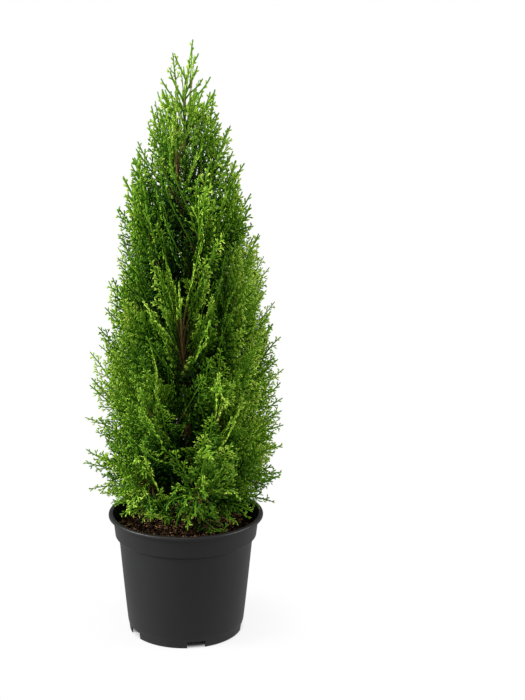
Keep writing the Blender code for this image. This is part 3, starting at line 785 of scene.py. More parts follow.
def make_pot_mesh():
    """The section turned round the axis: x = r cos t, y = r sin t. In a notch's columns the
    faces between two pairs of rows are left out, and the cut's walls and roof put in."""
    rows, (floor_cut, wall_in, wall_out, under_cut) = pot_profile()
    turned = rows[1:-1]
    step = TAU / POT_COLUMNS
    start = NOTCH_AZIMUTH - step * NOTCH_STEPS / 2
    angle = start + np.arange(POT_COLUMNS) * step
    points = np.stack([
        turned[:, :1] * np.cos(angle), turned[:, :1] * np.sin(angle),
        np.repeat(turned[:, 1:], POT_COLUMNS, axis=1)], -1).reshape(-1, 3)
    points = np.concatenate([points, [(0.0, 0.0, rows[0, 1]), (0.0, 0.0, rows[-1, 1])]])
    count = len(turned)
    top, bottom = count * POT_COLUMNS, count * POT_COLUMNS + 1
    row = np.arange(count - 1)[:, None]
    column = np.arange(POT_COLUMNS)[None, :]
    after = (column + 1) % POT_COLUMNS
    pitch = POT_COLUMNS // NOTCH_COUNT
    in_notch = (column % pitch) < NOTCH_STEPS
    profile_row = row + 1
    cut_floor = (profile_row >= floor_cut) & (profile_row < wall_in)
    cut_wall = (profile_row >= wall_out) & (profile_row < under_cut)
    keep = ~(in_notch & (cut_floor | cut_wall))
    quads = np.stack(np.broadcast_arrays(
        row * POT_COLUMNS + column, row * POT_COLUMNS + after,
        (row + 1) * POT_COLUMNS + after, (row + 1) * POT_COLUMNS + column), -1)
    faces = quads[keep].tolist()
    c, d = column[0], after[0]
    low = (count - 1) * POT_COLUMNS
    faces += np.stack([d, c, c * 0 + top], 1).tolist()
    faces += np.stack([low + c, low + d, c * 0 + bottom], 1).tolist()

    def at(profile_index, place):
        """The number of the point of a profile row in a column."""
        return (profile_index - 1) * POT_COLUMNS + place % POT_COLUMNS

    cut = [*range(floor_cut, wall_in + 1), *range(wall_out, under_cut + 1)]
    for notch in range(NOTCH_COUNT):
        left = notch * pitch
        right = left + NOTCH_STEPS
        for place in range(left, right):
            faces.append([at(wall_in, place), at(wall_in, place + 1),
                          at(wall_out, place + 1), at(wall_out, place)])
            faces.append([at(under_cut, place), at(under_cut, place + 1),
                          at(floor_cut, place + 1), at(floor_cut, place)])
        faces.append([at(index, left) for index in cut])
        faces.append([at(index, right) for index in reversed(cut)])
    mesh = bpy.data.meshes.new("nursery_pot")
    mesh.from_pydata(points.tolist(), [], faces)
    outward(mesh)
    return mesh


def outward(mesh):
    """Turns every face of a closed mesh outwards, judged by the sign of its volume."""
    shape = bmesh.new()
    shape.from_mesh(mesh)
    bmesh.ops.recalc_face_normals(shape, faces=shape.faces)
    if shape.calc_volume(signed=True) < 0:
        bmesh.ops.reverse_faces(shape, faces=shape.faces)
    shape.to_mesh(mesh)
    shape.free()


# The soil

def mound_height(out):
    """A low mound round the trunk: top - (top - edge) share^curve, with the share of the way
    out."""
    share = np.clip((out - SOIL_FLAT_RADIUS) / (SOIL_RADIUS - SOIL_FLAT_RADIUS), 0.0, 1.0)
    return SOIL_TOP_Z - (SOIL_TOP_Z - SOIL_EDGE_Z) * share ** SOIL_CURVE


def soil_height(x, y):
    """The mound, sunk a little, with lumps, clods and grit: noise of three sizes added to it."""
    place = np.stack([x, y, x * 0.0], -1)
    lumps, clods, grit = (height * ripple(place, size, seed) for height, size, seed in SOIL_LUMPS)
    return mound_height(np.hypot(x, y)) - SOIL_SINK + (lumps + clods) + grit


def on_soil(out, turn):
    """Points on the soil at distances from the axis and azimuths: (r cos t, r sin t, height)."""
    x, y = out * np.cos(turn), out * np.sin(turn)
    return np.stack([x, y, soil_height(x, y)], -1)


def make_soil_mesh():
    """A closed round plug: a middle point and rings on the soil, then down the wall."""
    radius = SOIL_RADIUS * np.linspace(SOIL_FIRST_RING, 1.0, SOIL_RINGS)
    angle = np.arange(SOIL_COLUMNS) * TAU / SOIL_COLUMNS
    top = on_soil(radius[:, None], angle)
    foot = top[-1].copy()
    foot[:, 2] = SOIL_EDGE_Z - SOIL_WALL_DEPTH
    foot[:, :2] *= SOIL_WALL_SHARE
    points = np.concatenate([
        on_soil(np.zeros(1), np.zeros(1)), top.reshape(-1, 3), foot,
        [(0.0, 0.0, SOIL_EDGE_Z - SOIL_WALL_DEPTH)]])
    faces = tube_faces(SOIL_RINGS + 1, SOIL_COLUMNS)
    return new_mesh("soil_bed", points, faces[:, ::-1])


def scatter(count, chance, reach):
    """Even random places on the soil, out to a radius: r = reach sqrt(u)."""
    out = reach * np.sqrt(chance.uniform(0.004, 1.0, count))
    return on_soil(out, chance.uniform(0.0, TAU, count))


def random_frames(count, chance, tip):
    """Unit triples: a direction up to tip degrees off level, its side and its top, rolled by
    as much."""
    turn = chance.uniform(0.0, TAU, count)
    ahead = heading_of(turn, about(chance, tip, count))
    roll = about(chance, tip, count)
    side = sideways(turn)
    top = np.cross(ahead, side)
    side, top = (
        side * np.cos(roll)[:, None] + top * np.sin(roll)[:, None],
        top * np.cos(roll)[:, None] - side * np.sin(roll)[:, None])
    return ahead, side, top


def make_grain_mesh(name, grain, place, half, wide, deep, frames, chance):
    """Closed tubes of two rings between the points place - half ahead and place + half ahead,
    each ring wide and deep by a random share, and all points pushed about at random."""
    ahead, side, top = frames
    count = len(place)
    centre = place[:, None] + ahead[:, None] * (half[:, None] * np.array(grain.rings))[..., None]
    ends = (place - ahead * half[:, None], place + ahead * half[:, None])
    wide = wide[:, None] * chance.uniform(*grain.wide, (count, 2))
    thick = deep[:, None] * chance.uniform(*grain.deep, (count, 2))
    points = tube_points(centre, side[:, None], top[:, None], wide, thick, grain.sides, ends)
    points += chance.normal(size=points.shape) * deep[:, None, None] * grain.rough
    return new_mesh(name, *tubes(points, 2, grain.sides))


def make_crumb_mesh(count, seed):
    """Crumbs, most of them small: smallest + (largest - smallest) u^3."""
    chance = np.random.default_rng(seed)
    place = scatter(count, chance, SOIL_RADIUS - 0.002)
    smallest, largest = CRUMB_SIZES
    size = smallest + (largest - smallest) * chance.uniform(0.0, 1.0, count) ** 3
    frames = random_frames(count, chance, 60.0)
    place[:, 2] += size * 0.15
    return make_grain_mesh("soil_crumbs", CRUMB, place, size, size, size, frames, chance)


def make_chip_mesh(count, seed):
    """Slivers of composted bark: their length, width and thickness are random shares of three
    sizes."""
    chance = np.random.default_rng(seed)
    place = scatter(count, chance, SOIL_RADIUS - 0.004)
    long, broad, thick = (
        size * chance.uniform(least, most, count) for size, least, most in CHIP_SIZES)
    frames = random_frames(count, chance, 26.0)
    place[:, 2] += thick * 0.6
    return make_grain_mesh("soil_chips", CHIP, place, long * 0.5, broad, thick, frames, chance)


def make_fibre_mesh(count, seed):
    """Thin fibres: three-sided tubes along arcs that lie on the soil, bent aside by the square
    of the share along them."""
    chance = np.random.default_rng(seed)
    place = scatter(count, chance, SOIL_RADIUS - 0.010)
    long = chance.uniform(*FIBRE_LENGTHS, count)
    ahead, side, top = random_frames(count, chance, 8.0)
    shares = np.linspace(-0.5, 0.5, FIBRE_RINGS)
    curl = chance.uniform(-0.5, 0.5, count)
    along = long[:, None] * shares
    aside = (curl * long)[:, None] * (shares ** 2 - 0.08)
    centre = place[:, None] + ahead[:, None] * along[..., None] + side[:, None] * aside[..., None]
    centre[..., 2] = soil_height(centre[..., 0], centre[..., 1]) + 0.0005
    centre[..., 2] += (top[:, 2] * chance.uniform(0.0, 0.0012, count))[:, None]
    thick = np.repeat(chance.uniform(*FIBRE_RADII, count)[:, None], FIBRE_RINGS, axis=1)
    ends = (centre[:, 0] - ahead * 0.0002, centre[:, -1] + ahead * 0.0002)
    points = tube_points(centre, side[:, None], top[:, None], thick, thick, 3, ends)
    return new_mesh("soil_fibres", *tubes(points, FIBRE_RINGS, 3))


# Trunk and limbs

def trunk_share(z):
    """How far up the trunk a height is, from 0 at its foot to 1 at its tip."""
    return np.clip((z - TRUNK_FOOT_Z) / (TIP_Z - TRUNK_FOOT_Z), 0.0, 1.0)


def trunk_centre(z):
    """A slow sway by cosines of the share up the trunk, with the soft tip nodding to +X by a
    high power of it."""
    z = np.asarray(z, float)
    share = trunk_share(z)
    x = SWAY_X * np.cos(math.pi * share) + TIP_NOD * share ** TIP_NOD_POWER
    y = SWAY_Y * (1.0 - np.cos(TAU * share))
    return np.stack([x, y, z], -1)


def trunk_radius(z):
    """A taper by a power of the share that is left, and a root flare that fades with the height
    as e^(-height / flare height)."""
    taper = (TRUNK_RADIUS - TRUNK_TIP_RADIUS) * (1.0 - trunk_share(z)) ** TRUNK_TAPER
    return TRUNK_TIP_RADIUS + taper + FLARE * np.exp(-(z - TRUNK_FOOT_Z) / FLARE_HEIGHT)


def crown_radius(z):
    """The crown's outline: drawn in evenly below the belly, and above it radius
    (1 - share^power)^rounding, with the share of the way to the tip."""
    share = np.clip((z - BELLY_Z) / (TIP_Z - BELLY_Z), 0.0, 1.0)
    above = CROWN_RADIUS * (1.0 - share ** TAPER_POWER) ** TAPER_ROUNDING
    return np.where(z < BELLY_Z, CROWN_RADIUS - TUCK * (BELLY_Z - z), above)


def limbs_of(tier):
    """One limb for each sector; feet and ends are spread by the golden fraction."""
    limbs = []
    for number in range(tier.count):
        azimuth = math.radians(tier.turn) + number * TAU / tier.count
        foot = tier.foot + tier.stagger * ((number * GOLDEN % 1.0) * 2.0 - 1.0)
        tip = tier.tip - tier.drop * ((number + 0.5) * GOLDEN % 1.0)
        reach = LIMB_REACH * float(crown_radius(tip))
        start = float(trunk_radius(foot)) * LIMB_START
        limbs.append(Limb(tier, f"{tier.name}_{number + 1}", azimuth, foot, tip, start, reach))
    return limbs


def limb_points(limb, share):
    """Points on a limb's path: outwards evenly, and upwards by a power of the share."""
    share = np.asarray(share, float)
    out = limb.start + (limb.reach - limb.start) * share
    middle = trunk_centre(limb.foot) * (1.0 - share)[..., None]
    return np.stack([
        middle[..., 0] + out * math.cos(limb.azimuth),
        middle[..., 1] + out * math.sin(limb.azimuth),
        limb.foot + (limb.tip - limb.foot) * share ** LIMB_RISE], -1)


def arc_length(path):
    """How far along a path each of its points lies: the sum of the steps before it."""
    steps = np.linalg.norm(np.diff(path, axis=0), axis=1)
    return np.concatenate([[0.0], np.cumsum(steps)])


def frames_along(centre, side):
    """Unit tangents of a path, and the two directions square to them nearest to side."""
    tangent = unit(np.gradient(centre, axis=0))
    off = unit(side - (tangent @ side)[:, None] * tangent)
    return tangent, np.cross(off, tangent), off


def bark_tube(centre, radius, side, sides, relief, seed):
    """A tube whose radius is raised by fibrous ridges: radius (1 + relief f(turn, length))."""
    tangent, across, off = frames_along(centre, side)
    turn = np.arange(sides) * TAU / sides
    around = np.stack(np.broadcast_arrays(
        RIDGE_RADIUS * np.cos(turn)[None], RIDGE_RADIUS * np.sin(turn)[None],
        arc_length(centre)[:, None] * RIDGE_STRETCH), -1)
    coarse, fine = (
        weight * ripple(around, size, seed + i)
        for i, (weight, size) in enumerate((COARSE_RIDGE, FINE_RIDGE)))
    swell = radius[:, None] * (1.0 + relief * (coarse + fine))
    ring = centre[:, None] + swell[..., None] * (
        np.cos(turn)[None, :, None] * across[:, None] + np.sin(turn)[None, :, None] * off[:, None])
    end = centre[-1:] + tangent[-1:] * radius[-1]
    return np.concatenate([centre[:1], ring.reshape(-1, 3), end]), tube_faces(len(centre), sides)


def trunk_stretch(low, high, rings, sides, relief):
    """The trunk's bark between two heights."""
    z = np.linspace(low, high, rings)
    aside = np.array([0.0, 1.0, 0.0])
    return bark_tube(trunk_centre(z), trunk_radius(z), aside, sides, relief, TRUNK_SEED)


def limb_tube(limb, number):
    """A limb from inside the trunk's bark to where its end spray starts. It strays sideways by
    noise times sin(pi share), and a collar swells its root:
    radius (1 + swell e^(-share / fade))."""
    share = np.linspace(0.0, LIMB_BARE, LIMB_RINGS)
    centre = limb_points(limb, share)
    side = sideways(limb.azimuth)
    wander = LIMB_WANDER * np.sin(math.pi * share)[:, None]
    sway = ripple(centre, WANDER_SIZE, WANDER_SEED + number)[:, None]
    centre = centre + wander * sway * side
    knots = (LIMB_ROOT_RADIUS, LIMB_MIDDLE_RADIUS, LIMB_TIP_RADIUS)
    radius = np.interp(share, (0.0, LIMB_MIDDLE, LIMB_BARE), knots) * limb.tier.girth
    radius = radius * (1.0 + COLLAR_SWELL * np.exp(-share / COLLAR_FADE))
    return bark_tube(centre, radius, side, LIMB_SIDES, LIMB_RELIEF, LIMB_SEED + 2 * number)


# Sprays

def on_spine(place):
    """Points along +X at the given places."""
    return np.stack([place, place * 0.0, place * 0.0], -1)


def picked(axes, index):
    """Some of the side axes, or all of them in another layout."""
    return Axes(*(field[index] for field in axes))


def bent(axes, share):
    """Place and heading at a share of side axes whose heading turns evenly from angle to now:
    along = (sin now - sin angle) / bend, aside = (cos angle - cos now) / bend and
    lift = share tan slope, each times the reach."""
    now = axes.angle + axes.bend * share
    along = (np.sin(now) - np.sin(axes.angle)) / axes.bend
    aside = (np.cos(axes.angle) - np.cos(now)) / axes.bend
    lift = np.tan(axes.slope) * share
    step = np.stack([along, aside, lift], -1) * axes.reach[..., None]
    return axes.root + step, now


def side_axes(length, habit, seed, chance):
    """Side axes that alternate along a spray and bend towards its tip. Their length is the
    spray's by reach (1 - share)^taper, and less for the ones at its foot."""
    count = int(length * AXES_SHARE / habit.gap)
    slip = chance.uniform(-AXIS_SLIP, AXIS_SLIP, count)
    place = (np.arange(count) + AXIS_FIRST + slip) * habit.gap
    share = place / length
    side = np.where(np.arange(count) % 2 == seed % 2, 1.0, -1.0)
    foot = np.clip((share + FOOT_SHIFT) / FOOT_SPAN, FOOT_LEAST, 1.0)
    reach = habit.reach * length * (1.0 - share) ** AXIS_TAPER * foot
    reach = np.maximum(reach * chance.uniform(*AXIS_LENGTHS, count), LEAST_AXIS)
    closed = np.radians(habit.angle - AXIS_CLOSING * share)
    angle = side * (closed + about(chance, AXIS_STRAY, count))
    bend = -side * np.radians(chance.uniform(*AXIS_BENDS, count))
    return Axes(on_spine(place), side, angle, bend, about(chance, habit.lean, count), reach)


def axis_tubes(axes, wide, deep):
    """Each side axis as a tube of three rings, slimmer towards its root."""
    stands, girths = (np.array(row) for row in AXIS_RINGS)
    centre, heading = bent(picked(axes, np.s_[:, None]), stands)
    off = np.broadcast_to(np.array([0.0, 0.0, 1.0]), centre.shape)
    tip, _ = bent(axes, np.ones(len(axes.side)))
    girths = girths * np.ones((len(tip), 1))
    return tube_points(
        centre, sideways(heading), off, wide * girths, deep * girths * 1.1, SIDES,
        (axes.root, tip))


def axis_shoots(axes, habit, chance):
    """Shoots that alternate along each side axis, shorter towards its tip, and forks that
    spring from the middle of the longest ones and point along the axis."""
    count = len(axes.side)
    order = np.arange(int(axes.reach.max() / habit.shoot_gap) + 1)
    slip = chance.uniform(-SHOOT_SLIP, SHOOT_SLIP, (count, len(order)))
    where = habit.first + order * habit.shoot_gap + slip
    held = where < axes.reach[:, None] - AXIS_BARE_END
    owner = np.broadcast_to(np.arange(count)[:, None], held.shape)[held]
    share = (where / axes.reach[:, None])[held]
    flip = (np.where(order % 2 == 0, 1.0, -1.0) * axes.side[:, None])[held]
    left = (axes.reach[:, None] - where)[held]
    length = (habit.shoot + left * SHOOT_GROWTH) * chance.uniform(*SHOOT_LENGTHS, len(left))
    length = np.minimum(np.minimum(length, habit.most), LAST_SHOOT + LAST_GROWTH * left)
    root, heading = bent(picked(axes, owner), share)
    leave = math.radians(SHOOT_ANGLE) + about(chance, SHOOT_STRAY, len(left))
    angle = heading + flip * leave
    slope = axes.slope[owner] + about(chance, habit.lean, len(left))
    shoots = Shoots(root, angle, slope, length, owner, share)
    forked = length > FORKING_LENGTH
    root, angle, slope, length, owner, share = (field[forked] for field in shoots)
    forks = Shoots(
        root + heading_of(angle, slope) * (length * FORK_SHARE)[:, None],
        angle - flip[forked] * math.radians(SHOOT_ANGLE),
        slope + about(chance, habit.lean, len(length)),
        length * FORK_SHARE * chance.uniform(*FORK_LENGTHS, len(length)), owner, share)
    return shoots, forks


def spine_shoots(axes, length, habit, chance):
    """A short shoot on the spine half a gap on from each side axis, on its other side."""
    place = axes.root[:, 0] + habit.gap * 0.5
    place = place[place < length - 0.002]
    near = len(place)
    leave = math.radians(SPINE_SHOOT_ANGLE) + about(chance, SHOOT_STRAY, near)
    return Shoots(
        on_spine(place), -axes.side[:near] * leave, about(chance, habit.lean, near),
        chance.uniform(*SPINE_SHOOT_LENGTHS, near), np.arange(near), place * 0.0)


def shoot_tubes(shoots, wide, deep, rings):
    """Flat spindles in the plane of a spray, each with a narrow root and a broad blunt end."""
    ahead = heading_of(shoots.angle, shoots.slope)
    across = sideways(shoots.angle)
    off = np.cross(ahead, across)
    stands, girths = (np.array(row) for row in SHOOT_RINGS[rings])
    length = shoots.length[:, None]
    centre = shoots.root[:, None] + ahead[:, None] * (length * stands)[..., None]
    return tube_points(
        centre, across[:, None], off[:, None], wide[:, None] * girths, deep[:, None] * girths,
        SIDES, (shoots.root - ahead * SHOOT_SUNK, shoots.root + ahead * length))


def spine_tube(length, wide):
    """A spray's spine as a tube that thins evenly towards the tip."""
    steps = np.linspace(0.0, SPINE_END, SPINE_RINGS)
    centre = on_spine(steps * length)
    width = wide * (SPINE_GIRTH - SPINE_THINNING * steps)
    ahead, aside, up = np.eye(3)
    return tube_points(
        centre, np.broadcast_to(aside, centre.shape), np.broadcast_to(up, centre.shape),
        width, width * SPINE_FLATNESS, SIDES, (centre[0] - ahead * 0.001, ahead * length))


def make_template(length, habit, seed, look):
    """A flat spray along +X from 0 to length: side axes alternate along its spine, shoots
    alternate along each of them, and the longest shoots fork once."""
    chance = np.random.default_rng(seed)
    wide = look.shoot_width * habit.girth / 2.0
    deep = wide * look.flatness
    axes = side_axes(length, habit, seed, chance)
    rows = [*axis_shoots(axes, habit, chance), spine_shoots(axes, length, habit, chance)]
    shoots = Shoots(*(np.concatenate(fields) for fields in zip(*rows)))
    fat = chance.uniform(*SHOOT_GIRTHS, len(shoots.length))
    return Template(
        length, spine_tube(length, wide)[None], axis_tubes(axes, wide, deep),
        shoot_tubes(shoots, wide * fat, deep * fat, habit.rings), shoots.owner, shoots.share)


def bezier(p0, p1, p2, p3, count):
    """A cubic curve through p0 and p3 at even shares t, with s = 1 - t:
    s^3 p0 + 3 s^2 t p1 + 3 s t^2 p2 + t^3 p3."""
    t = np.linspace(0.0, 1.0, count)[:, None]
    s = 1.0 - t
    return s ** 3 * p0 + 3.0 * s * s * t * p1 + 3.0 * s * t * t * p2 + t ** 3 * p3


def make_spine(root, root_heading, tip, tip_heading, face, twist):
    """A bent twig with a frame at each point; its face turns by twist from root to tip. A last
    point lies past the tip, for what reaches out there."""
    span = np.linalg.norm(tip - root)
    centre = bezier(
        root, root + root_heading * span * ROOT_PULL, tip - tip_heading * span * TIP_PULL, tip,
        SPINE_POINTS)
    centre = np.concatenate([centre, [tip + tip_heading * SPINE_BEYOND]])
    _, across, off = frames_along(centre, face)
    turn = np.linspace(-0.5, 0.5, len(centre))[:, None] * twist
    across, off = (
        across * np.cos(turn) + off * np.sin(turn),
        off * np.cos(turn) - across * np.sin(turn))
    return Spine(arc_length(centre), centre, across, off)


def read_along(rows, marks, s):
    """Vectors given at rising marks, read at s on the straight lines between them."""
    return np.stack([np.interp(s, marks, rows[:, i]) for i in range(3)], -1)


def frame_at(spine, s):
    """A spine's centre, across and off at lengths s along it."""
    return (read_along(rows, spine.arc, s) for rows in (spine.centre, spine.across, spine.off))


def carried(spine, points, offset, scale, cup):
    """Template points laid along a spine: centre(s) + y across(s) + (z + cup y^2) off(s)."""
    centre, across, off = frame_at(spine, offset + points[..., 0] * scale)
    y = points[..., 1] * scale
    z = points[..., 2] * scale + cup * y * y
    return centre + y[..., None] * across + z[..., None] * off


def clear_of_neighbours(points):
    """Whether each shape's points stay in the crown's outline and off soil, pot and trunk."""
    out = np.hypot(points[..., 0], points[..., 1])
    z = points[..., 2]
    on_leader = z > SPRAY_TOP_Z
    clear = (out < crown_radius(z) + OVERREACH) | on_leader
    for axis in range(2):
        clear &= points[..., axis] > FRAME_BOX[0][axis]
        clear &= points[..., axis] < FRAME_BOX[1][axis]
    past_lip = out > LIP_RADIUS + LIP_CLEARANCE
    clear &= (z > mound_height(out) + SOIL_CLEARANCE) | past_lip
    off_wall = out < BAND_TOP_RADIUS - WALL - WALL_CLEARANCE
    clear &= (z > POT_TOP + LIP_CLEARANCE) | off_wall | past_lip
    middle = trunk_centre(z)
    gap = np.hypot(points[..., 0] - middle[..., 0], points[..., 1] - middle[..., 1])
    clear &= (gap > trunk_radius(z)) | on_leader
    return (clear & (z < TIP_Z) & (z > LOWEST_Z)).all(axis=-1)


def degrees_from(azimuth, middle):
    """How far an azimuth lies from a middle in degrees, brought to between -180 and 180."""
    return (np.degrees(azimuth) - middle + 180.0) % 360.0 - 180.0


def parted(azimuth, z):
    """Azimuths with those near a parting moved aside, to between half its width and all of it:
    off becomes (width + off) / 2."""
    for middle in PARTINGS:
        off = degrees_from(azimuth, middle)
        aside = np.where(off < 0.0, -0.5, 0.5) * (PARTING_WIDTH + np.abs(off))
        near = (np.abs(off) < PARTING_WIDTH) & (z > PARTING_FOOT_Z)
        azimuth = azimuth + np.radians(np.where(near, aside - off, 0.0))
    return azimuth


def off_parting(azimuth):
    """Degrees from an azimuth to the nearest parting."""
    return np.abs(degrees_from(azimuth[..., None], np.array(PARTINGS))).min(axis=-1)


def depth_of(points):
    """How deep points lie inside the crown, as a share of its radius at their height. Towards
    the leader, where light comes from all sides, it gives way to a little less than none."""
    z = points[..., 2]
    radius = np.maximum(crown_radius(z), LEAST_CROWN)
    depth = 1.0 - np.hypot(points[..., 0], points[..., 1]) / radius
    fade = np.clip((SPRAY_TOP_Z - z) / LEADER_FADE, 0.0, 1.0)
    return depth * fade - LEADER_LIGHT * (1.0 - fade)


def tint_of(shade, points):
    """The number of each shape's tint, from 0 for sunlit: its own shade and the depth of its
    root times the shading, rounded."""
    tint = np.round(shade + SHADING * depth_of(points[:, 0]))
    return np.clip(tint, 0, len(TINT_NAMES) - 1).astype(int)


def surface_height(tier):
    """The height at which a tier's floor cone meets the crown's outline."""
    z = np.linspace(SEARCH_FOOT_Z, TIP_Z, SEARCH_STEPS)
    return float(np.interp(0.0, z - tier.floor - tier.slope * crown_radius(z), z))


def fan_share(z, azimuth):
    """How far sprays reach within their fan: swell - depth (1 - rise)^curve, where the rise goes
    from 0 at the fan's foot to 1 at its top."""
    rise = (z / FAN_HEIGHT + azimuth * FAN_TURN + FAN_PHASE) % 1.0
    return FAN_SWELL - np.interp(z, FAN_LEVELS, FAN_DEPTHS) * (1.0 - rise) ** FAN_CURVE


def spray_ends(limb, level, chance):
    """Where a limb's sprays end: the ones that hang over the soil, those spread over its cell
    of the crown's surface by the golden fraction and drawn in towards the cell's sides, and the
    inner ones. Returns the ends, their headings and their kinds."""
    tier = limb.tier
    hung = HANGING_COUNT if level == 0 else 0
    count = hung + tier.sprays + tier.inner
    order = np.arange(count) - hung
    hanging = order < 0
    outer = order < tier.sprays
    low = surface_height(tier)
    high = surface_height(TIERS[level + 1]) if level + 1 < len(TIERS) else SPRAY_TOP_Z
    rank = np.where(outer, order / tier.sprays, (order - tier.sprays) / max(tier.inner, 1))
    rank = rank + chance.uniform(0.2, 0.8, count) / np.where(outer, tier.sprays, tier.inner)
    aside = (order * GOLDEN + chance.uniform()) % 1.0 * 2.0 - 1.0
    z = low + (high - low) * rank
    inner_span = high - tier.foot - (INNER_FOOT + INNER_TOP)
    z = np.where(outer, z, tier.foot + INNER_FOOT + inner_span * rank)
    azimuth = limb.azimuth + aside * CELL_SHARE * math.pi / tier.count
    azimuth = np.where(outer, parted(azimuth, z), azimuth)
    depth = chance.uniform(*OUTER_DEPTHS, count)
    depth = np.where(order % 5 == 4, chance.uniform(*SUNK_DEPTHS, count), depth)
    depth = np.where(order % 4 == 1, chance.uniform(*PROUD_DEPTHS, count), depth)
    depth = np.where(outer, depth, chance.uniform(*INNER_DEPTHS, count))
    reach = crown_radius(z) * depth * (1.0 - CELL_ROUNDING * np.abs(aside) ** 3)
    reach = reach * np.interp(z, WIDTH_HEIGHTS, WIDTHS)
    reach = reach * np.where(outer, fan_share(z, limb.azimuth), 1.0)

    tilt = np.interp(z, TILT_HEIGHTS, TILTS)
    droops = chance.uniform(size=count) < np.interp(z, DROOP_HEIGHTS, DROOP_SHARES)
    near = off_parting(azimuth) < FACING_WIDTH
    facing = near & (z < FACING_TOP_Z)
    tilt = np.where(facing, np.where(droops, DROOP_TILT, STAND_TILT), tilt)
    tilt = tilt + chance.uniform(-TILT_SPREAD, TILT_SPREAD, count)

    out = np.array(HANGING_REACHES)[order % len(HANGING_REACHES)]
    out = out * chance.uniform(0.92, 1.08, count)
    above = HANGING_RISE * (out - min(HANGING_REACHES)) + chance.uniform(*HANGING_LIFTS, count)
    z = np.where(hanging, mound_height(out) + above, z)
    reach = np.where(hanging, out, reach)
    tilt = np.where(hanging, -chance.uniform(*HANGING_TILTS, count), tilt)
    tilt = np.radians(np.where(outer, tilt, chance.uniform(*INNER_TILTS, count)))
    yaw = azimuth + about(chance, YAW_SPREAD, count)

    ends = np.stack([reach * np.cos(azimuth), reach * np.sin(azimuth), z], -1)
    outline = ends * np.stack([1.0 / depth, 1.0 / depth, depth * 0.0 + 1.0], -1)
    lobes = 1.0 + LOBE_DEPTH * np.where(hanging, 0.0, ripple(outline, LOBE_SIZE, LOBE_SEED))
    ends[:, :2] *= lobes[:, None]
    ends[:, 0] += np.where(hanging, 0.0, np.interp(z, LEAN_HEIGHTS, LEANS))
    furthest = crown_radius(ends[:, 2]) + OVERREACH - END_GAP
    ends[:, :2] *= np.minimum(furthest / np.hypot(ends[:, 0], ends[:, 1]), 1.0)[:, None]
    low_side, high_side = (np.array(side[:2]) for side in FRAME_BOX)
    ends[:, :2] = np.clip(ends[:, :2], low_side + END_GAP, high_side - END_GAP)
    kinds = np.select([hanging, outer], ["hanging", "outer"], "inner")
    kept = near | ~hanging
    return ends[kept], heading_of(yaw, tilt)[kept], kinds[kept]


def swing_range(kind, azimuth, end, aim, look):
    """The least and most degrees that a spray's face turns from the upright plane through the
    axis: most turn a little, and those that droop over the pot or face a parting turn far."""
    if aim[2] < 0.0 and math.hypot(end[0], end[1]) < LIP_RADIUS:
        return DROOPING_SWINGS
    if kind == "outer" and off_parting(azimuth) < FACING_WIDTH:
        return FACING_SWINGS if end[2] < FACING_TOP_Z else (LEAST_SWING, PARTING_SWING)
    return INNER_SWINGS if kind == "inner" else (LEAST_SWING, look.swing)


def spray_spines(limb, level, chance, look):
    """A bent twig for each of a limb's sprays, from the limb's path to the spray's end, and
    one that carries on the limb itself. Each comes with its kind."""
    ends, heading, kinds = spray_ends(limb, level, chance)
    path = limb_points(limb, np.linspace(*SPRAY_ROOTS, LIMB_POINTS))
    ahead = unit(np.gradient(path, axis=0))
    spines = []
    for end, aim, kind in zip(ends, heading, kinds):
        wanted = end - aim * limb.tier.length * SPRING_BACK
        if kind == "hanging":
            wanted = end + np.array([0.0, 0.0, HANGING_DROP])
        usable = path[:DROOP_ROOTS] if kind == "outer" and aim[2] < 0.0 else path
        nearest = int(np.argmin(np.linalg.norm(usable - wanted, axis=1)))
        root = path[nearest]
        leave = unit(ahead[nearest] * 0.5 + unit(end - root) * 0.5)
        azimuth = np.arctan2(end[1], end[0])
        side = sideways(azimuth)
        least, most = swing_range(kind, azimuth, end, aim, look)
        swing = math.radians(chance.uniform(least, most) * chance.choice((-1.0, 1.0)))
        face = unit(side * math.cos(swing) + np.cross(aim, side) * math.sin(swing))
        twist = math.radians(chance.uniform(-TWIST, TWIST))
        spines.append((make_spine(root, leave, end, aim, face, twist), kind))
    root, last, end = limb_points(limb, [LIMB_BARE - END_OVERLAP, LIMB_BARE, 1.0])
    aim = unit(end - last)
    reach = min(float(crown_radius(end[2])) / math.hypot(end[0], end[1]), END_REACH)
    end = end * np.array([reach, reach, 1.0])
    side = sideways(limb.azimuth)
    spines.append((make_spine(root, unit(last - root), end, aim, side, END_TWIST), "outer"))
    return spines


# The leader's own shoots, the main one first: height of the root, place of the end, and the
# direction that they face
LEADER_SHOOTS = (
    (0.656, (0.0076, 0.0002, 0.7155), (0.0, 1.0, 0.0)),
    (0.667, (-0.0134, 0.0015, 0.6995), (0.1, 1.0, 0.0)),
    (0.680, (0.0140, -0.0010, 0.7000), (-0.1, 1.0, 0.0)),
    (0.664, (-0.0030, -0.0060, 0.6850), (0.8, 0.6, 0.0)),
    (0.650, (0.0130, 0.0050, 0.6860), (0.3, 1.0, 0.0)),
    (0.646, (0.0190, -0.0060, 0.6720), (-0.3, 1.0, 0.0)),
    (0.632, (0.0280, 0.0020, 0.6740), (0.1, 1.0, 0.0)),
    (0.640, (-0.0185, -0.0030, 0.6795), (-0.2, 1.0, 0.0)),
    (0.630, (-0.0290, 0.0020, 0.6715), (0.1, 1.0, 0.0)),
    (0.645, (0.0030, -0.0190, 0.6830), (1.0, 0.3, 0.0)),
    (0.640, (-0.0060, 0.0190, 0.6850), (1.0, -0.4, 0.0)),
    (0.628, (0.0150, 0.0230, 0.6700), (-0.8, 0.6, 0.0)),
    (0.625, (-0.0130, -0.0240, 0.6680), (-0.8, 0.6, 0.0)),
)
LEADER_ROOT_LIFT = 0.03     # what is added to their rise where they start and where they end
LEADER_TIP_LIFT = 0.02
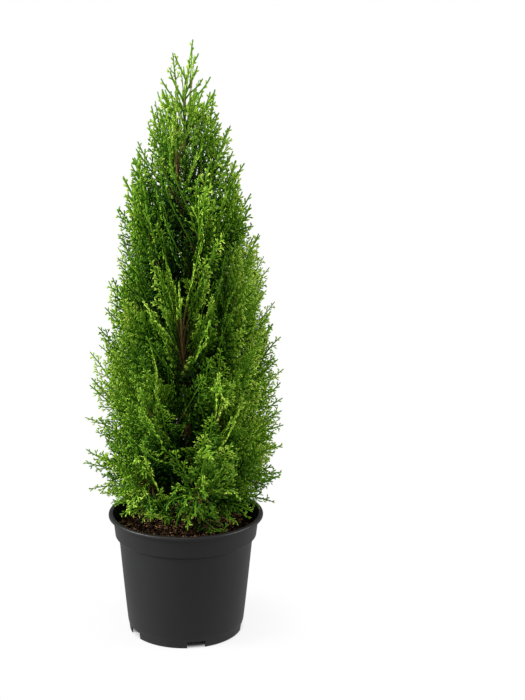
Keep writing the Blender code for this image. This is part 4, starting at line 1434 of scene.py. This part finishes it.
LEADER_TWIST = 0.2          # how far their face turns, in radians


def leader_spines():
    """A spine for each of the leader's own shoots; the others spring from the main one or,
    below it, from the trunk. Each rises a little more steeply than the straight line from its
    root to its end."""
    spines = []
    for z, end, face in LEADER_SHOOTS:
        root = trunk_centre(z)
        if spines and z > LEADER_SHOOTS[0][0]:
            main = spines[0][0].centre
            root = read_along(main, main[:, 2], z)
        end = np.array(end)
        aim = unit(end - root + np.array([0.0, 0.0, LEADER_TIP_LIFT]))
        leave = unit(end - root + np.array([0.0, 0.0, LEADER_ROOT_LIFT]))
        face = unit(np.array(face))
        spines.append((make_spine(root, leave, end, aim, face, LEADER_TWIST), "leader"))
    return spines


def grow_sprays(spines, templates, leafy, wood, chance, shapes, twigs):
    """Lays a template on each spine, deals out its tints, and adds a bare twig below it that
    runs on under a share of the leafy part. The shapes are lists of tubes for each tint, by
    their number of rings."""
    for spine, kind in spines:
        whole = spine.arc[-2]
        length = min(leafy, whole * LEAFY_SHARE)
        if kind == "outer" and spine.centre[-2, 2] > OPEN_Z:
            kind = "open"
        some = templates[kind]
        near = np.argsort([abs(t.length - length) for t in some])[:CHOICES]
        template = some[int(chance.choice(near))]
        offset, scale = whole - length, length / template.length
        cup = chance.uniform(-CUP, CUP)
        axes, shoots, stem = (
            carried(spine, points, offset, scale, cup)
            for points in (template.axes, template.shoots, template.spine))
        axis_kept = clear_of_neighbours(axes)
        if axis_kept.mean() < CLEAR_SHARE:
            continue
        shoot_kept = clear_of_neighbours(shoots) & axis_kept[template.owner]
        mood = chance.uniform(-SPRAY_MOOD, SPRAY_MOOD)
        mood = mood + chance.uniform(-AXIS_MOOD, AXIS_MOOD, len(axes))
        # Painted light and shade: each tint comes from the shape's depth in the crown, darker on
        # side axes and at their feet, lighter towards the tips
        axis_tint = tint_of(mood + AXIS_SHADE, axes)
        shoot_tint = tint_of(
            mood[template.owner] + SHOOT_SHADE - SHOOT_LIGHT * template.share, shoots)
        for tint, shape in enumerate(shapes):
            shape[len(AXIS_RINGS[0])].append(axes[axis_kept & (axis_tint == tint)])
            shape[shoots.shape[1] // SIDES].append(shoots[shoot_kept & (shoot_tint == tint)])
        stem_tint = TINT_NAMES.index("shade" if kind == "inner" else "leaf")
        shapes[stem_tint][SPINE_RINGS].append(stem)
        bare = np.linspace(0.0, offset + wood * length, TWIG_RINGS)
        centre, across, off = frame_at(spine, bare)
        radius = np.linspace(*TWIG_RADII, TWIG_RINGS)
        ends = (centre[0], centre[-1])
        twigs.append(tube_points(centre, across, off, radius, radius, SIDES, ends))


def spray_mesh(name, shape):
    """One tint's share of a tier: spines, side axes and shoots as one mesh."""
    return new_mesh(name, *joined([
        tubes(np.concatenate(some), rings, SIDES) for rings, some in sorted(shape.items())]))


# Settings

def number(name, description, default, **more):
    """A setting that holds one number."""
    return bpy.props.FloatProperty(name=name, description=description, default=default, **more)


def colour(name, description, default):
    """A setting that holds a colour."""
    return bpy.props.FloatVectorProperty(
        name=name, description=description, default=default, size=3, min=0.0, max=1.0,
        subtype="COLOR")


class ThujaPotSettings(bpy.types.PropertyGroup):
    """Colour and finish of the pot."""

    colour: colour("Plastic", "Colour of the moulded pot", (0.0115, 0.0116, 0.0119))
    roughness: number("Roughness", "Roughness of the plastic", 0.44, min=0.0, max=1.0)
    dust: number("Dust", "Trace of dust on the ledges and the foot", 0.10, min=0.0, max=1.0)


class ThujaSoilSettings(bpy.types.PropertyGroup):
    """Colours of the soil, and how much lies loose on it."""

    peat: colour("Peat", "Darkest brown of the soil", (0.0028, 0.0018, 0.0013))
    chip: colour("Chips", "Colour of the bark chips", (0.560, 0.300, 0.125))
    crumbs: bpy.props.IntProperty(
        name="Crumbs", description="Number of loose crumbs", default=2600, min=1)
    chips: bpy.props.IntProperty(
        name="Chips", description="Number of bark chips", default=460, min=1)


class ThujaWoodSettings(bpy.types.PropertyGroup):
    """Colours of the bark and of the young wood."""

    bark: colour("Bark", "Lighter brown of the trunk's fibres", (0.600, 0.390, 0.125))
    furrow: colour("Furrows", "Darker brown between the fibres", (0.190, 0.110, 0.042))
    leader: colour("Leader", "Colour of the young wood at the top", (0.220, 0.270, 0.050))


class ThujaFoliageSettings(bpy.types.PropertyGroup):
    """Size and stance of the shoots, and their tints of painted light and shade."""

    shoot_width: number(
        "Shoot width", "Width of a scaly shoot", 0.0018, min=0.0005, max=0.006,
        subtype="DISTANCE", unit="LENGTH")
    flatness: number("Flatness", "Thickness of a shoot over its width", 0.62, min=0.1, max=1.0)
    swing: number(
        "Swing", "How far a spray turns from the upright plane, in degrees", 38.0,
        min=0.0, max=90.0)
    # The tints are painted light and shade, dealt out by depth in the crown: the two lightest are
    # painted light, the two darkest painted shade
    sunlit: colour("Sunlit", "Young tips in the light", (0.490, 0.690, 0.085))
    fresh: colour("Fresh", "Fresh outer sprays", (0.272, 0.480, 0.027))
    leaf: colour("Leaf", "Most of the foliage", (0.118, 0.285, 0.009))
    deep: colour("Deep", "Older sprays", (0.032, 0.118, 0.003))
    shade: colour("Shade", "Sprays near the wood", (0.007, 0.040, 0.001))


class ThujaStageSettings(bpy.types.PropertyGroup):
    """Where the camera stands, and how strong the lights are."""

    camera_distance: number(
        "Camera distance", "From the pot's middle to the camera, level", 1.5,
        subtype="DISTANCE", unit="LENGTH")
    camera_height: number(
        "Camera height", "Above the floor", 0.68, subtype="DISTANCE", unit="LENGTH")
    camera_pitch: number("Camera pitch", "Degrees below level", 12.28)
    camera_turn: number("Camera turn", "Degrees to the right of the plant", 3.50)
    camera_roll: number("Camera roll", "Degrees that keep the plant upright", 0.75)
    focal: number("Focal length", "In picture heights", 1277.5 / 700.0)
    key_power: number("Key light", "Power of the left light in watts", 72.0)
    fill_power: number("Fill light", "Power of the right light in watts", 32.0)
    top_power: number("Top light", "Power of the light above in watts", 18.0)
    world: number("World", "Strength of the even light from all round", 0.26)


# Operators

class ThujaOperator:
    """What every operator here shares: it can be undone and is registered."""

    bl_options = {"REGISTER", "UNDO"}


class THUJA_OT_pot(ThujaOperator, bpy.types.Operator):
    """Turns the nursery pot with its lip, band, moulded lines and drainage notches"""

    bl_idname = "thuja.pot"
    bl_label = "Make Pot"

    def execute(self, context):
        material = plastic_material(context.scene.thuja_pot)
        add_piece(make_pot_mesh(), material, ["pot"], sharp=32.0)
        return {"FINISHED"}


class THUJA_OT_soil(ThujaOperator, bpy.types.Operator):
    """Fills the pot with peaty soil, loose crumbs, bark chips and fibres"""

    bl_idname = "thuja.soil"
    bl_label = "Make Soil"

    def execute(self, context):
        look = context.scene.thuja_soil
        peat, chip = tuple(look.peat), tuple(look.chip)
        mixed = tuple((a * 2.0 + b) / 3.0 for a, b in zip(peat, chip))
        bed = earth_material("peat", peat, shaded(mixed, 0.1), size=0.004, roughness=0.98)
        loose = earth_material("crumbs", peat, shaded(chip, 0.07), size=0.006, roughness=0.95)
        bark = earth_material("bark_chips", shaded(chip, 0.04), chip, size=0.007, roughness=0.85)
        straw = earth_material("fibres", chip, STRAW, size=0.004, roughness=0.8)
        add_piece(make_soil_mesh(), bed, ["soil"])
        add_piece(make_crumb_mesh(look.crumbs, SEED), loose, sharp=50.0)
        add_piece(make_chip_mesh(look.chips, SEED + 1), bark, sharp=40.0)
        add_piece(make_fibre_mesh(FIBRE_COUNT, SEED + 2), straw)
        return {"FINISHED"}


class THUJA_OT_wood(ThujaOperator, bpy.types.Operator):
    """Grows the trunk with its root flare and leader, and a bark-covered limb for each cell"""

    bl_idname = "thuja.wood"
    bl_label = "Make Trunk and Boughs"

    def execute(self, context):
        look = context.scene.thuja_wood
        furrow, pale = tuple(look.furrow), tuple(look.bark)
        bark = bark_material("trunk_bark", furrow, pale, size=0.0012)
        thin = bark_material("bough_bark", furrow, shaded(pale, 1.1), size=0.0009)
        green = bark_material(
            "leader_bark", shaded(look.leader, 0.55), tuple(look.leader), size=0.0008)
        stem = trunk_stretch(TRUNK_FOOT_Z, LEADER_Z, rings=260, sides=30, relief=0.16)
        add_piece(new_mesh("trunk_bark", *stem), bark, ["trunk"])
        stem = trunk_stretch(LEADER_Z - 0.001, LEADER_TOP_Z, rings=60, sides=10, relief=0.05)
        add_piece(new_mesh("leader", *stem), green, ["trunk"])
        for level, tier in enumerate(TIERS):
            limbs = limbs_of(tier)
            barks = [limb_tube(limb, level * 10 + i) for i, limb in enumerate(limbs)]
            kind = "bough" if tier.bough else "foliage"
            mesh = new_mesh(f"limbs_{tier.name}", *joined(barks))
            cover = green if tier.name == "tip" else thin
            add_piece(mesh, cover, [f"{kind}_{limb.name}" for limb in limbs])
        return {"FINISHED"}


class THUJA_OT_foliage(ThujaOperator, bpy.types.Operator):
    """Grows twigs and flat sprays on every limb and joins them by tier and tint"""

    bl_idname = "thuja.foliage"
    bl_label = "Make Foliage"

    def execute(self, context):
        look = context.scene.thuja_foliage
        tints = [leaf_material(f"foliage_{name}", tuple(getattr(look, name)))
                 for name in TINT_NAMES]
        twig = bark_material("twig_bark", *TWIG_BARK, size=0.0008)
        young = bark_material("young_twigs", *YOUNG_BARK, size=0.0008)
        templates = {
            kind: [make_template(length, habit, seed + i, look)
                   for i, length in enumerate(np.repeat(lengths, CHOICES))]
            for kind, (habit, seed, lengths) in SPRAY_KINDS.items()}
        templates["hanging"] = templates["open"]
        for level, tier in enumerate(TIERS):
            chance = np.random.default_rng(FOLIAGE_SEED + level)
            shapes = [defaultdict(list) for _ in TINT_NAMES]
            twigs = []
            limbs = limbs_of(tier)
            for limb in limbs:
                spines = spray_spines(limb, level, chance, look)
                grow_sprays(
                    spines, templates, tier.length, SPRAY_WOOD, chance, shapes, twigs)
            if tier.name == "tip":
                grow_sprays(
                    leader_spines(), templates, LEADER_LEAFY, 0.0, chance, shapes, twigs)
            nodes = [f"foliage_{limb.name}" for limb in limbs]
            for name, material, shape in zip(TINT_NAMES, tints, shapes):
                mesh = spray_mesh(f"foliage_{tier.name}_{name}", shape)
                add_piece(mesh, material, nodes)
            mesh = new_mesh(f"twigs_{tier.name}", *tubes(np.stack(twigs), TWIG_RINGS, SIDES))
            add_piece(mesh, young if tier.name == "tip" else twig, nodes)
        return {"FINISHED"}


class THUJA_OT_stage(ThujaOperator, bpy.types.Operator):
    """Sets up the pale floor, the soft lights and the camera"""

    bl_idname = "thuja.stage"
    bl_label = "Make Stage"

    def execute(self, context):
        look = context.scene.thuja_stage
        make_floor()
        make_world(context.scene, look.world)
        for name, place, size, power in LIGHTS:
            add_light(name, place, size, getattr(look, power))
        make_camera(context.scene, look)
        context.scene.view_settings.view_transform = "Standard"
        return {"FINISHED"}


# Each light: name, place, size, and the setting that holds its power; all aim at one point
LIGHTS = (
    ("left_light", (-2.05, -0.5, 1.2), 1.1, "key_power"),
    ("right_light", (2.0, -0.25, 1.0), 1.1, "fill_power"),
    ("top_light", (-0.2, -0.3, 2.2), 1.2, "top_power"),
)
LIGHT_AIM = Vector((0.0, 0.0, 0.34))

# The floor's radius, its rings and columns, and its two shadows: each fades from the first
# radius to the second, and takes a share of the floor's way to white
FLOOR_RADIUS = 14.0
FLOOR_RINGS = 24
FLOOR_COLUMNS = 96
FLOOR_FADES = ((0.060, 0.0745, 0.88), (0.080, 0.170, 0.12))
FLOOR_GLOW = 0.45           # the strength of the white that only other things see
WHITE = (1.0, 1.0, 1.0, 1.0)


def floor_mesh():
    """A flat disc: rings of (r cos t, r sin t, 0) whose radius grows by the square, and a middle
    point."""
    radius = FLOOR_RADIUS * np.linspace(0.02, 1.0, FLOOR_RINGS) ** 2
    angle = np.arange(FLOOR_COLUMNS) * TAU / FLOOR_COLUMNS
    x, y = radius[:, None] * np.cos(angle), radius[:, None] * np.sin(angle)
    points = np.concatenate([np.stack([x, y, x * 0.0], -1).reshape(-1, 3), [(0.0, 0.0, 0.0)]])
    row = np.arange(FLOOR_RINGS - 1)[:, None] * FLOOR_COLUMNS
    i = np.arange(FLOOR_COLUMNS)
    j = (i + 1) % FLOOR_COLUMNS
    a, b = row + i, row + j
    c, d = b + FLOOR_COLUMNS, a + FLOOR_COLUMNS
    middle = np.stack([i * 0 + FLOOR_RINGS * FLOOR_COLUMNS, i, j], 1)
    band = np.concatenate([np.stack([a, d, c], -1), np.stack([a, c, b], -1)]).reshape(-1, 3)
    return new_mesh("floor", points, np.concatenate([middle, band]))


def make_floor():
    """A wide round floor, dark under the pot, with a faint shadow that fades into white."""
    material, tree = new_material("studio_floor")
    shader = tree.nodes["Principled BSDF"]
    feed(tree, shader.inputs["Base Color"], (0.86, 0.86, 0.86, 1.0))
    feed(tree, shader.inputs["Roughness"], 0.75)
    seen = add_node(tree, "LightPath").outputs["Is Camera Ray"]
    glow = add_node(tree, "Emission", {"Strength": between(tree, seen, FLOOR_GLOW, 1.0)})
    place = add_node(tree, "TexCoord").outputs["Object"]
    out = add_node(tree, "VectorMath", {0: place}, operation="LENGTH").outputs["Value"]
    shares = [
        add_node(
            tree, "MapRange", {"From Min": first, "From Max": last, "To Max": most, "Value": out},
            interpolation_type="SMOOTHSTEP").outputs["Result"]
        for first, last, most in FLOOR_FADES]
    mix_shaders(tree, math_node(tree, "ADD", *shares), shader, glow, "Material Output")
    floor = show(floor_mesh(), material)


def make_world(scene, strength):
    """White to the eye, and a softer even light on the plant."""
    world = bpy.data.worlds.new("studio")
    scene.world = world
    world.use_nodes = True
    tree = world.node_tree
    light = tree.nodes["Background"]
    feed(tree, light.inputs["Color"], WHITE)
    feed(tree, light.inputs["Strength"], strength)
    white = add_node(tree, "Background", {"Color": WHITE})
    seen = add_node(tree, "LightPath").outputs["Is Camera Ray"]
    mix_shaders(tree, seen, light, white, "World Output")


def add_light(name, place, size, power):
    """A square soft light at a place, aimed at the middle of the plant."""
    lamp = bpy.data.lights.new(name, "AREA")
    lamp.size = size
    lamp.energy = power
    thing = bpy.data.objects.new(name, lamp)
    thing.location = place
    thing.rotation_euler = (LIGHT_AIM - Vector(place)).to_track_quat("-Z", "Y").to_euler()
    bpy.context.scene.collection.objects.link(thing)


def make_camera(scene, look):
    """The photograph's view: the camera is turned so that the plant stands left of the middle,
    and rolled a little so that the plant's axis is upright in the picture."""
    data = bpy.data.cameras.new("camera")
    data.sensor_width = 36.0
    data.lens = 36.0 * look.focal
    camera = bpy.data.objects.new("camera", data)
    scene.collection.objects.link(camera)
    turn = (
        Matrix.Rotation(math.radians(-look.camera_turn), 4, "Z")
        @ Matrix.Rotation(math.radians(90.0 - look.camera_pitch), 4, "X")
        @ Matrix.Rotation(math.radians(look.camera_roll), 4, "Z"))
    place = Vector((0.0, -look.camera_distance, look.camera_height))
    camera.matrix_world = Matrix.Translation(place) @ turn
    scene.camera = camera


class THUJA_PT_panel(bpy.types.Panel):
    """Lists the steps that build the potted thuja"""

    bl_idname = "THUJA_PT_panel"
    bl_label = "Potted Thuja"
    bl_space_type = "VIEW_3D"
    bl_region_type = "UI"
    bl_category = "Potted Thuja"

    def draw(self, context):
        """A button for each step, and a box for each group of settings."""
        for operator in OPERATORS:
            self.layout.operator(operator.bl_idname)
        for name in SETTINGS:
            box = self.layout.box()
            settings = getattr(context.scene, name)
            for key in settings.__annotations__:
                box.prop(settings, key)


SETTINGS = {
    "thuja_pot": ThujaPotSettings,
    "thuja_soil": ThujaSoilSettings,
    "thuja_wood": ThujaWoodSettings,
    "thuja_foliage": ThujaFoliageSettings,
    "thuja_stage": ThujaStageSettings,
}
OPERATORS = (THUJA_OT_stage, THUJA_OT_pot, THUJA_OT_soil, THUJA_OT_wood, THUJA_OT_foliage)
CLASSES = (*SETTINGS.values(), *OPERATORS, THUJA_PT_panel)


def register():
    """Registers every class and hangs the settings on the scene."""
    for cls in CLASSES:
        bpy.utils.register_class(cls)
    for name, cls in SETTINGS.items():
        setattr(bpy.types.Scene, name, bpy.props.PointerProperty(type=cls))


def unregister():
    """Takes the settings off the scene and the classes out, the last one first."""
    for name in SETTINGS:
        delattr(bpy.types.Scene, name)
    for cls in reversed(CLASSES):
        bpy.utils.unregister_class(cls)


def main():
    """Makes the stage and the plant."""
    register()
    bpy.ops.thuja.stage()
    bpy.ops.thuja.pot()
    bpy.ops.thuja.soil()
    bpy.ops.thuja.wood()
    bpy.ops.thuja.foliage()
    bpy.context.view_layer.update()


if __name__ == "__main__":
    main()
